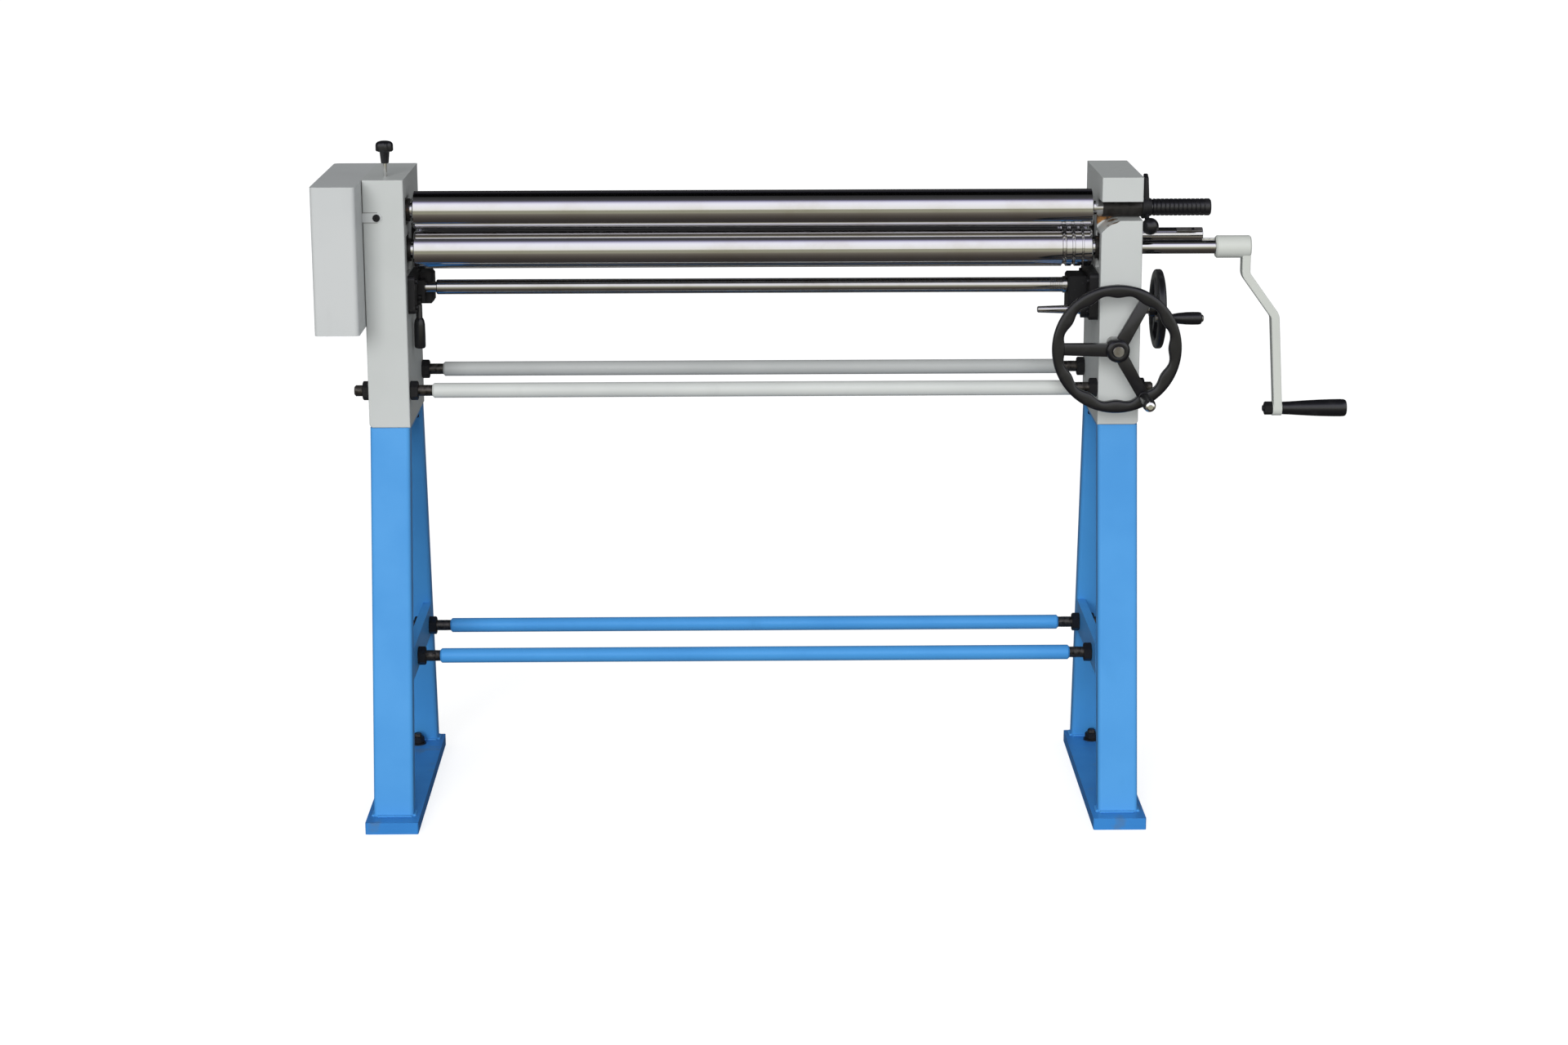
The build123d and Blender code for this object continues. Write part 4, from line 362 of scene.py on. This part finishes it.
black_plastic = Finish("black_plastic", roughness=0.34, coat=0.25)
grain = black_plastic.noise(650.0, 3.0)
dust = black_plastic.ramp(black_plastic.noise(35.0, 4.0), 0.5, 0.8)
black_plastic.set("Base Color", black_plastic.tint(dust * 0.5, (0.008, 0.008, 0.010), (0.024, 0.023, 0.025)))
black_plastic.set("Roughness", 0.30 + dust * 0.16)
black_plastic.set("Normal", black_plastic.bump(grain, 0.15, 0.0004))
dress(black_plastic, "lock_ball", "pull_grip")


def pick(kind, test):
    """In edit mode, select the vertices, edges or faces whose middle passes the test."""
    mesh = bmesh.from_edit_mesh(bpy.context.object.data)
    for group in (mesh.verts, mesh.edges, mesh.faces):
        for item in group:
            item.select = False
    bpy.context.tool_settings.mesh_select_mode = (kind == "verts", kind == "edges", kind == "faces")
    for item in getattr(mesh, kind):
        middle = item.co if kind == "verts" else (
            (item.verts[0].co + item.verts[1].co) / 2 if kind == "edges" else item.calc_center_median())
        if test(middle):
            item.select = True
    mesh.select_flush_mode()
    bmesh.update_edit_mesh(bpy.context.object.data)


def seat(piece, name, finish, body, place=(0, 0, 0), turn=(0, 0, 0), smooth=35):
    """Put a finished mesh in its place with its finish, and let it ride on its body."""
    if bpy.context.object and bpy.context.object.mode == "EDIT":
        bpy.ops.mesh.select_all(action="SELECT")
        bpy.ops.mesh.remove_doubles(threshold=0.00001)
        bpy.ops.mesh.normals_make_consistent(inside=False)
        bpy.ops.object.mode_set(mode="OBJECT")
    piece.name = name
    piece.data.name = name
    piece.location = place
    piece.rotation_euler = turn
    bpy.ops.object.select_all(action="DESELECT")
    piece.select_set(True)
    bpy.context.view_layer.objects.active = piece
    bpy.ops.object.transform_apply(location=True, rotation=True, scale=True)
    bpy.ops.object.shade_smooth_by_angle(angle=radians(smooth))
    piece.data.materials.clear()
    piece.data.materials.append(finish.material)
    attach(piece, body)
    return piece


def turned(profile, sides=48):
    """A turned shape along Z from (distance, radius) pairs, left open in edit mode."""
    bpy.ops.object.select_all(action="DESELECT")
    bpy.ops.mesh.primitive_circle_add(vertices=sides, radius=profile[0][1], fill_type="NGON",
                                      location=(0, 0, 0), enter_editmode=True)
    piece = bpy.context.object
    bpy.ops.transform.translate(value=(0, 0, profile[0][0]))
    for (z0, r0), (z1, r1) in zip(profile, profile[1:]):
        bpy.ops.mesh.extrude_region_move(TRANSFORM_OT_translate={"value": (0, 0, z1 - z0)})
        bpy.ops.transform.resize(value=(r1 / r0, r1 / r0, 1))
    return piece


def rounded(piece, width, segments=3, angle=30):
    """Leave edit mode and round the sharp edges."""
    if piece.mode == "EDIT":
        bpy.ops.mesh.select_all(action="SELECT")
        bpy.ops.mesh.remove_doubles(threshold=0.00001)
        bpy.ops.mesh.normals_make_consistent(inside=False)
        bpy.ops.object.mode_set(mode="OBJECT")
    soften = piece.modifiers.new("soften", "BEVEL")
    soften.width = width
    soften.segments = segments
    soften.limit_method = "ANGLE"
    soften.angle_limit = radians(angle)
    bpy.ops.object.modifier_apply(modifier=soften.name)


along_x = (0, pi / 2, 0)
towards_front = (pi / 2, 0, 0)
top_roll_z = 1.223

lever_hub = turned([(0.7762, 0.0168), (0.7762, 0.0228), (0.7785, 0.0230), (0.7860, 0.0215), (0.7925, 0.0180),
                    (0.7962, 0.0168), (0.7962, 0.0152)])
rounded(lever_hub, 0.0008, 2, 30)
seat(lever_hub, "lock_lever_hub", black_oxide, "lock", place=(0, 0, top_roll_z), turn=along_x)
lever_x, blade_middle_z = 0.7845, 1.253
blade_thickness, blade_width, blade_height, tip_slant = 0.0125, 0.034, 0.074, 0.007
bpy.ops.object.select_all(action="DESELECT")
bpy.ops.mesh.primitive_cube_add(size=1, location=(lever_x, 0, blade_middle_z), enter_editmode=True,
                                scale=(blade_thickness, blade_width, blade_height))
blade = bpy.context.object
# the blade narrows and leans away from the frame towards its tip, which is cut on the slant
pick("verts", lambda v: v.z > 0)
bpy.ops.transform.resize(value=(0.72, 0.53, 1))
bpy.ops.transform.translate(value=(-0.0008, 0, 0))
pick("verts", lambda v: v.z > 0 and v.y < 0)
bpy.ops.transform.translate(value=(0, 0, -tip_slant))
bpy.ops.object.mode_set(mode="OBJECT")
bpy.ops.object.transform_apply(location=True, rotation=False, scale=True)
rounded(blade, 0.0022, 3)
seat(blade, "lock_lever_blade", black_oxide, "lock")
# the stem goes down to the front at 45 degrees, from the hub to the ball
stem_half, stem_radius = 0.0245, 0.0048
stem = turned([(-stem_half, stem_radius), (stem_half, stem_radius)], sides=24)
seat(stem, "lock_lever_stem", black_oxide, "lock", turn=(radians(-45), 0, 0),
     place=(0.785, -stem_half, top_roll_z - stem_half))
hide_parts("lock_lever")


# ------------------------------------------------------------------ lock knob
# A moulded star knob with a domed top and a tapered neck on a plated 8 mm rod that
# goes down through the left frame to the swivel block.

knob_x, knob_lobes = -0.731, 7
skirt_z, neck_radius = 1.3395, 0.010
knob_profile = [(1.3163, 0.0074), (1.3175, 0.0078), (1.339, 0.0098), (1.3400, 0.0155), (1.3412, 0.0176),
                (1.3520, 0.0176), (1.3560, 0.0166), (1.3592, 0.0130), (1.3606, 0.0080), (1.3609, 0.0030)]
knob = turned(knob_profile, sides=84)
for lobe in range(knob_lobes):
    towards = 2 * pi * lobe / knob_lobes
    for spread, pull in ((0.26, 0.955), (0.16, 0.955), (0.07, 0.975)):
        pick("verts", lambda v: v.z > skirt_z and sqrt(v.x ** 2 + v.y ** 2) > neck_radius
             and abs((atan2(v.y, v.x) - towards + pi) % (2 * pi) - pi) < spread)
        bpy.ops.transform.resize(value=(pull, pull, 1), center_override=(0, 0, 1.35))
rounded(knob, 0.0012, 2, 40)
seat(knob, "lock_knob_head", black_plastic, "lock_knob", place=(knob_x, 0, 0))
plated = Finish("plated", metallic=1.0, roughness=0.28)
dulled = plated.ramp(plated.noise(120.0, 4.0), 0.45, 0.75)
plated.set("Base Color", plated.tint(dulled, (0.72, 0.72, 0.71), (0.5, 0.49, 0.47)))
plated.set("Roughness", 0.22 + dulled * 0.2)
knob_rod = turned([(1.2640, 0.0034), (1.2648, 0.0039), (1.3163, 0.0039)], sides=24)
seat(knob_rod, "lock_knob_rod", plated, "lock_knob", place=(knob_x, 0, 0))
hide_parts("lock_knob")


# ------------------------------------------------------------------ crank
# A hub bored for the shaft with a flat bar welded on, bent twice and sprayed off-white;
# a moulded black grip turns on a bolt that a nut holds at the inner side of the bar.

crank_enamel = enamel("crank_enamel", (0.64, 0.66, 0.62), (0.58, 0.60, 0.56), 0.3)
dress(crank_enamel, "crank_arm")
dress(black_oxide, "crank_pin")

lower_roll_z, crank_grip_z = 1.143, 0.812
crank_grip = turned([(1.0715, 0.0115), (1.0722, 0.0127), (1.0745, 0.0130), (1.085, 0.0134), (1.105, 0.0146),
                     (1.125, 0.0158), (1.150, 0.0170), (1.172, 0.0176), (1.190, 0.0178), (1.1975, 0.0174),
                     (1.2010, 0.0160), (1.2022, 0.0142), (1.2023, 0.0106), (1.1995, 0.0104)])
rounded(crank_grip, 0.0004, 2, 40)
seat(crank_grip, "crank_grip_moulding", black_plastic, "crank_handle",
     place=(0, 0, crank_grip_z), turn=along_x)
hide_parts("crank_grip")

# the parallel key that shows where the shaft goes into the hub
bpy.ops.object.select_all(action="DESELECT")
key_length, key_width, key_height, key_x, key_out = 0.026, 0.008, 0.006, 0.912, 0.0140
bpy.ops.mesh.primitive_cube_add(size=1, location=(0, 0, 0), scale=(key_length, key_width, key_height))
key = bpy.context.object
bpy.ops.object.transform_apply(location=False, rotation=False, scale=True)
rounded(key, 0.0008, 2)
seat(key, "crank_key", plated, "lower_roll", place=(key_x, 0, lower_roll_z + key_out))


# ------------------------------------------------------------------ rear shaft key
# The rear roll's end has a keyway for the same crank; a bright key is screwed into it.

key_screw = turned([(0.0, 0.0030), (0.0012, 0.0030), (0.0016, 0.0026), (0.0016, 0.0014), (0.0006, 0.0013)], sides=24)
rear_roll_y, rear_roll_z = 0.098, 1.153
screw_x, screw_out, slant = 0.893, 0.0187, radians(45)
seat(key_screw, "rear_key_screw", black_oxide, "rear_roll", turn=(slant, 0, 0),
     place=(screw_x, rear_roll_y - screw_out * sin(slant), rear_roll_z + screw_out * cos(slant)))


# ------------------------------------------------------------------ cross shaft and its housings
# Bright drawn shaft that links the lifting gear of both frames; it runs in two black
# cast housings screwed to the inner faces. The side handwheel's shaft ends in a nose.

shaft_steel = ground_steel("shaft_steel", (0.60, 0.595, 0.60), (0.42, 0.38, 0.33), 0.09)
dress(shaft_steel, "cross_shaft", "nip_shaft")
dress(black_oxide, "left_housing", "right_housing")


def rings(name, radius, thickness, pitch, count, finish, slot, body, place, turn):
    """A stack of fine ridges, for a thread or a knurled end."""
    bpy.ops.object.select_all(action="DESELECT")
    bpy.ops.mesh.primitive_torus_add(major_radius=radius, minor_radius=thickness, major_segments=32,
                                     minor_segments=6, location=(0, 0, 0))
    piece = bpy.context.object
    repeat = piece.modifiers.new("repeat", "ARRAY")
    repeat.count = count
    repeat.use_relative_offset = False
    repeat.use_constant_offset = True
    repeat.constant_offset_displace = (0, 0, pitch)
    bpy.ops.object.modifier_apply(modifier=repeat.name)
    seat(piece, name, finish, body, place=place, turn=turn)


rings("cross_shaft_ridges", radius=0.0147, thickness=0.0007, pitch=0.0026, count=10, finish=shaft_steel,
      slot="polished_steel", body="cross_shaft", place=(0.600, 0.048, 1.060), turn=along_x)


def cap_screw(name, radius, body, place, turn):
    """A socket head screw with a round socket, its head standing on the origin."""
    head = turned([(0.0, radius), (radius * 0.95, radius), (radius * 1.05, radius * 0.9),
                   (radius * 1.05, radius * 0.56)], sides=24)
    bpy.ops.mesh.extrude_region_move(TRANSFORM_OT_translate={"value": (0, 0, -radius * 0.5)})
    seat(head, name, black_oxide, body, place=place, turn=turn)


screw_radius, left_face_x, right_face_x = 0.0050, -0.676, 0.672
for number, (y, z) in enumerate(((-0.022, 1.030), (-0.022, 1.082), (0.121, 1.030), (0.121, 1.082))):
    cap_screw(f"left_housing_screw_{number}", screw_radius, "frame", (left_face_x, y, z), along_x)
for number, (y, z) in enumerate(((-0.022, 1.016), (-0.022, 1.078), (0.118, 1.016), (0.118, 1.078))):
    cap_screw(f"right_housing_screw_{number}", screw_radius, "frame", (right_face_x, y, z), (0, -pi / 2, 0))


# ------------------------------------------------------------------ clutch lever
# A short steel stem that hangs from a pin in the left housing, with a moulded grip.

clutch_x, clutch_y, clutch_pin_z, clutch_neck_z = -0.676, 0.038, 1.040, 1.030
clutch = turned([(0.9362, 0.0060), (0.9366, 0.0085), (0.9380, 0.0105), (0.941, 0.0114), (0.965, 0.0115),
                 (0.985, 0.0111), (0.993, 0.0098), (0.9975, 0.0078), (0.9985, 0.0066), (1.026, 0.0064)], sides=32)
rounded(clutch, 0.0005, 2, 40)
seat(clutch, "clutch_lever_grip", black_plastic, "clutch_lever",
     place=(clutch_x, clutch_y, 0))
eye = turned([(-0.0054, 0.0075), (-0.0050, 0.0079), (0.0050, 0.0079), (0.0054, 0.0075)], sides=40)
rounded(eye, 0.0004, 2, 40)
seat(eye, "clutch_lever_eye", black_oxide, "clutch_lever",
     place=(clutch_x, clutch_y, clutch_pin_z), turn=along_x)
bpy.ops.object.select_all(action="DESELECT")
bpy.ops.mesh.primitive_cube_add(size=1, location=(0, 0, 0), scale=(0.0106, 0.0098, 0.014))
neck = bpy.context.object
bpy.ops.object.transform_apply(location=False, rotation=False, scale=True)
rounded(neck, 0.0012, 2)
seat(neck, "clutch_lever_neck", black_oxide, "clutch_lever",
     place=(clutch_x, clutch_y, clutch_neck_z))
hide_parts("clutch_lever")


# ------------------------------------------------------------------ front handwheel
# Moulded black wheel, 256 mm: flat rim with scallops for the fingers on its inner side,
# three ridged spokes to a hub on the shaft end, and a revolving handle with a bright end.

wheel_x, wheel_y, wheel_z = 0.716, -0.140, 0.961
outer, inner, rim_depth = 0.128, 0.108, 0.018
rim_sides, per_wave, wave_depth = 144, 12, 0.052


def ring_blank(outer_radius, inner_radius, depth, sides):
    """A flat ring about Z, in edit mode, with its upper faces selected."""
    bpy.ops.object.select_all(action="DESELECT")
    bpy.ops.mesh.primitive_circle_add(vertices=sides, radius=outer_radius, fill_type="NOTHING", location=(0, 0, 0),
                                      enter_editmode=True)
    piece = bpy.context.object
    bpy.ops.mesh.select_all(action="SELECT")
    share = (inner_radius / outer_radius) ** 0.5
    for _ in range(2):
        bpy.ops.mesh.extrude_region_move(TRANSFORM_OT_translate={"value": (0, 0, 0)})
        bpy.ops.transform.resize(value=(share, share, 1), center_override=(0, 0, 0))
    bpy.ops.mesh.select_all(action="SELECT")
    bpy.ops.transform.translate(value=(0, 0, -depth / 2))
    bpy.ops.mesh.extrude_region_move(TRANSFORM_OT_translate={"value": (0, 0, depth)})
    return piece


rim = ring_blank(outer, inner, rim_depth, rim_sides)
for step in range(per_wave):
    swell = 1 - wave_depth * (0.5 + 0.5 * cos(2 * pi * step / per_wave))
    pick("verts", lambda v: sqrt(v.x ** 2 + v.y ** 2) < inner + 0.001
         and round((atan2(v.y, v.x) % (2 * pi)) / (2 * pi) * rim_sides) % per_wave == step)
    bpy.ops.transform.resize(value=(swell, swell, 1), center_override=(0, 0, 0))
# the middle of the section stands proud, so the rim is crowned on both faces
pick("verts", lambda v: inner + 0.001 < sqrt(v.x ** 2 + v.y ** 2) < outer - 0.001)
bpy.ops.transform.resize(value=(1.02, 1.02, 1.22), center_override=(0, 0, 0))
rounded(rim, 0.0042, 4, 40)
seat(rim, "bend_wheel_rim", black_plastic, "bend_wheel", place=(wheel_x, wheel_y, wheel_z),
     turn=towards_front, smooth=60)
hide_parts("bend_handwheel")

spoke_length, spoke_width, spoke_depth, spoke_middle, dish = 0.100, 0.023, 0.013, 0.063, 0.010
for number in range(3):
    bpy.ops.object.select_all(action="DESELECT")
    bpy.ops.mesh.primitive_cube_add(size=1, location=(spoke_middle, 0, 0), enter_editmode=True,
                                    scale=(spoke_length, spoke_width, spoke_depth))
    spoke = bpy.context.object
    # the face towards the user is drawn in to a ridge and the hub end is raised, so the wheel is dished
    pick("faces", lambda f: f.z > 0.3)
    bpy.ops.transform.resize(value=(1, 0.26, 1))
    pick("verts", lambda v: v.x < 0)
    bpy.ops.transform.resize(value=(1, 1.12, 1.5))
    bpy.ops.transform.translate(value=(0, 0, dish))
    bpy.ops.object.mode_set(mode="OBJECT")
    bpy.ops.object.transform_apply(location=True, rotation=False, scale=True)
    rounded(spoke, 0.0016, 2, 20)
    spoke.rotation_euler = (0, 0, radians(60 - 120 * number))
    bpy.ops.object.transform_apply(location=False, rotation=True, scale=False)
    seat(spoke, f"bend_wheel_spoke_{number}", black_plastic, "bend_wheel",
         place=(wheel_x, wheel_y, wheel_z), turn=towards_front, smooth=40)
wheel_hub = turned([(-0.0198, 0.0205), (-0.0190, 0.0215), (0.006, 0.0238), (0.022, 0.0236), (0.0275, 0.0222),
                    (0.0312, 0.0185), (0.0318, 0.0150), (0.0312, 0.0122), (0.0306, 0.0112)])
rounded(wheel_hub, 0.0006, 2, 30)
seat(wheel_hub, "bend_wheel_hub", black_plastic, "bend_wheel", place=(wheel_x, wheel_y, wheel_z),
     turn=towards_front)

# the handle stands on the rim where the spoke to the lower right meets it
handle_from_axis, handle_angle = 0.112, radians(60)
handle_x = wheel_x + handle_from_axis * cos(handle_angle)
handle_z = wheel_z - handle_from_axis * sin(handle_angle)
handle_boss = turned([(-0.0100, 0.0100), (-0.0092, 0.0112), (0.0080, 0.0122), (0.0100, 0.0112), (0.0106, 0.0090)])
rounded(handle_boss, 0.0006, 2, 30)
seat(handle_boss, "bend_wheel_boss", black_plastic, "bend_wheel",
     place=(handle_x, wheel_y, handle_z), turn=towards_front)
handle = turned([(0.0112, 0.0080), (0.0116, 0.0104), (0.014, 0.0112), (0.022, 0.0108), (0.040, 0.0114),
                 (0.062, 0.0126), (0.078, 0.0129), (0.089, 0.0122), (0.0945, 0.0108), (0.0968, 0.0088)])
rounded(handle, 0.0006, 2, 30)
seat(handle, "bend_handle_moulding", black_plastic, "bend_wheel_handle",
     place=(handle_x, wheel_y, handle_z), turn=towards_front)
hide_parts("bend_handle")

chrome = Finish("chrome", metallic=1.0, roughness=0.07)
haze = chrome.ramp(chrome.noise(80.0, 4.0), 0.5, 0.8)
chrome.set("Base Color", chrome.tint(haze, (0.86, 0.86, 0.87), (0.7, 0.7, 0.7)))
chrome.set("Roughness", 0.06 + haze * 0.1)
dress(chrome, "bend_handle_pin")


# ------------------------------------------------------------------ side handwheel
# A smaller wheel of the same make, 160 mm, with a revolving handle; it turns the nip.

side_x, side_z = 0.814, 1.017
side_outer, side_inner, side_depth = 0.080, 0.061, 0.013
handle_degrees, pin_from_axis = 188, 0.063
side_rim = ring_blank(side_outer, side_inner, side_depth, 120)
pick("verts", lambda v: side_inner + 0.001 < sqrt(v.x ** 2 + v.y ** 2) < side_outer - 0.001)
bpy.ops.transform.resize(value=(1.01, 1.01, 1.38), center_override=(0, 0, 0))
rounded(side_rim, 0.0034, 3, 40)
seat(side_rim, "nip_wheel_rim", black_plastic, "nip_wheel", place=(side_x, 0, side_z), turn=along_x,
     smooth=60)
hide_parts("nip_handwheel")
for number in range(3):
    bpy.ops.object.select_all(action="DESELECT")
    bpy.ops.mesh.primitive_cube_add(size=1, location=(0.040, 0, 0), enter_editmode=True,
                                    scale=(0.056, 0.018, 0.010))
    spoke = bpy.context.object
    pick("faces", lambda f: f.z > 0.3)
    bpy.ops.transform.resize(value=(1, 0.3, 1))
    bpy.ops.object.mode_set(mode="OBJECT")
    bpy.ops.object.transform_apply(location=True, rotation=False, scale=True)
    rounded(spoke, 0.0014, 2, 20)
    # the wheel's own X axis becomes -Z when its axis is laid along X
    spoke.rotation_euler = (0, 0, radians(handle_degrees + 90 + 120 * number))
    bpy.ops.object.transform_apply(location=False, rotation=True, scale=False)
    seat(spoke, f"nip_wheel_spoke_{number}", black_plastic, "nip_wheel", place=(side_x, 0, side_z),
         turn=along_x, smooth=40)
side_hub = turned([(-0.0178, 0.0150), (-0.0170, 0.0160), (-0.004, 0.0178), (0.008, 0.0176), (0.0115, 0.0160),
                   (0.0120, 0.0120), (0.0118, 0.0102)])
rounded(side_hub, 0.0006, 2, 30)
seat(side_hub, "nip_wheel_hub", black_plastic, "nip_wheel", place=(side_x, 0, side_z), turn=along_x)
pin_y = pin_from_axis * cos(radians(handle_degrees))
pin_z = side_z + pin_from_axis * sin(radians(handle_degrees))
side_boss = turned([(-0.0088, 0.0090), (-0.0080, 0.0100), (0.0080, 0.0106), (0.0092, 0.0094)])
rounded(side_boss, 0.0006, 2, 30)
seat(side_boss, "nip_wheel_boss", black_plastic, "nip_wheel", place=(side_x, pin_y, pin_z),
     turn=along_x)
side_handle = turned([(0.0102, 0.0062), (0.0106, 0.0078), (0.0130, 0.0084), (0.022, 0.0092), (0.034, 0.0112),
                      (0.050, 0.0126), (0.062, 0.0129), (0.0735, 0.0127), (0.0775, 0.0118), (0.0796, 0.0092)])
rounded(side_handle, 0.0006, 2, 30)
seat(side_handle, "nip_handle_moulding", black_plastic, "nip_wheel_handle",
     place=(side_x, pin_y, pin_z), turn=along_x)
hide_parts("nip_handle")
dress(machined_steel, "nip_handle_pin")


# ------------------------------------------------------------------ tie bars
# Drawn 30 mm bars with turned and threaded ends, the upper pair sprayed off-white (the rear one a darker copy as
# painted shade) and the lower pair blue; black nuts clamp them inside and outside of each wall.

thread_steel = Finish("thread_steel", metallic=0.85, roughness=0.38)
soot = thread_steel.ramp(thread_steel.noise(110.0, 5.0), 0.42, 0.72)
thread_steel.set("Base Color", thread_steel.tint(soot, (0.13, 0.12, 0.11), (0.022, 0.019, 0.017)))
thread_steel.set("Roughness", 0.32 + soot * 0.2)


def bare_ends(name, colour, shade):
    """The bars' enamel, which stops at the turned ends; those are bare dark steel."""
    paint = enamel(name, colour, shade, 0.34)
    along = paint.node("ShaderNodeMath", {"operation": "ABSOLUTE"}, {0: paint.axis("X")})
    bare = along > 0.6455
    dark = paint.tint(paint.ramp(paint.noise(110.0, 5.0), 0.42, 0.72), (0.11, 0.10, 0.09), (0.02, 0.018, 0.016))
    paint.set("Base Color", paint.tint(bare, paint.colour, dark))
    paint.set("Metallic", bare * 0.85)
    return paint


upper_tie_enamel = bare_ends("upper_tie_enamel", (0.66, 0.68, 0.66), (0.58, 0.60, 0.585))
# the rear upper bar's enamel is darker as painted shade, for the shadow the parts above cast on it
shaded_rear_tie_enamel = bare_ends("shaded_rear_tie_enamel", (0.50, 0.515, 0.51), (0.44, 0.455, 0.45))
blue, blue_shade = (0.072, 0.335, 0.745), (0.052, 0.272, 0.655)
lower_tie_enamel = bare_ends("lower_tie_enamel", blue, blue_shade)
dress(upper_tie_enamel, "upper_front_tie")
dress(shaded_rear_tie_enamel, "upper_rear_tie")
dress(lower_tie_enamel, "lower_front_tie", "lower_rear_tie")
dress(black_oxide, "upper_tie_nuts", "lower_tie_nuts")
# where each pair's nuts and bar ends are, out from the middle; the threads start at the bars' shoulders
shoulder, thread_radius, thread_ridge, thread_pitch = 0.653, 0.01085, 0.0006, 0.0025
for word, z, inner_nut, outer_nut, tip in (("upper", 0.864, 0.674, 0.785, 0.802),
                                           ("lower", 0.310, 0.675, 0.722, 0.734)):
    for row, y in (("front", -0.038), ("rear", 0.194)):
        for side, hand in (("left", -1), ("right", 1)):
            # one stretch between the bar's shoulder and the inner nut, one outside the outer nut
            inside_count = int((inner_nut - shoulder) / thread_pitch)
            outside_count = int((tip - 0.004 - outer_nut) / thread_pitch) + 1
            turn = (0, hand * pi / 2, 0)
            rings(f"{word}_{row}_{side}_thread_in", thread_radius, thread_ridge, thread_pitch, inside_count,
                  thread_steel, "machined_steel", "frame", (hand * shoulder, y, z), turn)
            rings(f"{word}_{row}_{side}_thread_out", thread_radius, thread_ridge, thread_pitch, outside_count,
                  thread_steel, "machined_steel", "frame", (hand * (outer_nut + 0.0012), y, z), turn)


# ------------------------------------------------------------------ stand
# Four raked posts of rectangular tube welded on thick plates, with a flat bar across
# each leg for the lower ties, all sprayed blue; bolts in the plates hold it to the floor.

stand_enamel = enamel("stand_enamel", blue, blue_shade, 0.32)
dress(stand_enamel, "left_front_post", "left_rear_post", "right_front_post", "right_rear_post", "left_strap",
      "right_strap", "cap_plates")
plate_enamel = enamel("plate_enamel", (0.045, 0.255, 0.660), (0.035, 0.200, 0.560), 0.30)
# greyer, duller blue in patches that fall at random over the plates
grey_patches = plate_enamel.ramp(plate_enamel.noise(22.0, 6.0), 0.56, 0.70)
plate_enamel.set("Base Color", plate_enamel.tint(grey_patches * 0.6, plate_enamel.colour, (0.10, 0.20, 0.36)))
dress(plate_enamel, "left_base_plate", "right_base_plate")
dress(black_oxide, "foot_bolts", "frame_bolts")


def bead(name, start, end, width):
    """A weld bead between two points: overlapping scales, each laid a little over the last."""
    run = Vector(end) - Vector(start)
    pitch = 0.0034
    bpy.ops.object.select_all(action="DESELECT")
    bpy.ops.mesh.primitive_uv_sphere_add(segments=10, ring_count=6, radius=width, location=(0, 0, 0),
                                         rotation=(0, radians(70), 0), scale=(0.55, 1, 1.0))
    scale = bpy.context.object
    bpy.ops.object.transform_apply(location=False, rotation=True, scale=True)
    repeat = scale.modifiers.new("repeat", "ARRAY")
    repeat.count = max(2, int(run.length / pitch))
    repeat.use_relative_offset = False
    repeat.use_constant_offset = True
    repeat.constant_offset_displace = (run.length / repeat.count, 0, 0)
    bpy.ops.object.modifier_apply(modifier=repeat.name)
    turn = run.to_track_quat("X", "Z").to_euler()
    seat(scale, name, stand_enamel, "frame", place=start, turn=turn)


# each post's foot is welded to its plate on all four sides, a little short of the corners
plate_top, post_near, post_far = 0.024, 0.691, 0.771
weld_z, weld_short, weld_off, weld_width = plate_top + 0.0012, 0.006, 0.001, 0.0042
for side, hand in (("left", -1), ("right", 1)):
    near, far = hand * post_near, hand * post_far
    near_end, far_end = near + hand * weld_short, far - hand * weld_short
    near_off, far_off = near - hand * weld_off, far + hand * weld_off
    for row, front, back in (("front", -0.217, -0.1762), ("rear", 0.2912, 0.332)):
        for letter, start, end in (
                ("a", (near_end, front - weld_off), (far_end, front - weld_off)),
                ("b", (near_end, back + weld_off), (far_end, back + weld_off)),
                ("c", (near_off, front + weld_short), (near_off, back - weld_short)),
                ("d", (far_off, front + weld_short), (far_off, back - weld_short))):
            bead(f"{side}_{row}_weld_{letter}", (*start, weld_z), (*end, weld_z), weld_width)
    for row, y in (("front", -0.148), ("rear", 0.266)):
        rings(f"{side}_{row}_foot_thread", 0.0079, 0.0005, 0.002, 3, thread_steel, "machined_steel", "frame",
              (hand * 0.731, y, 0.0412), (0, 0, 0))
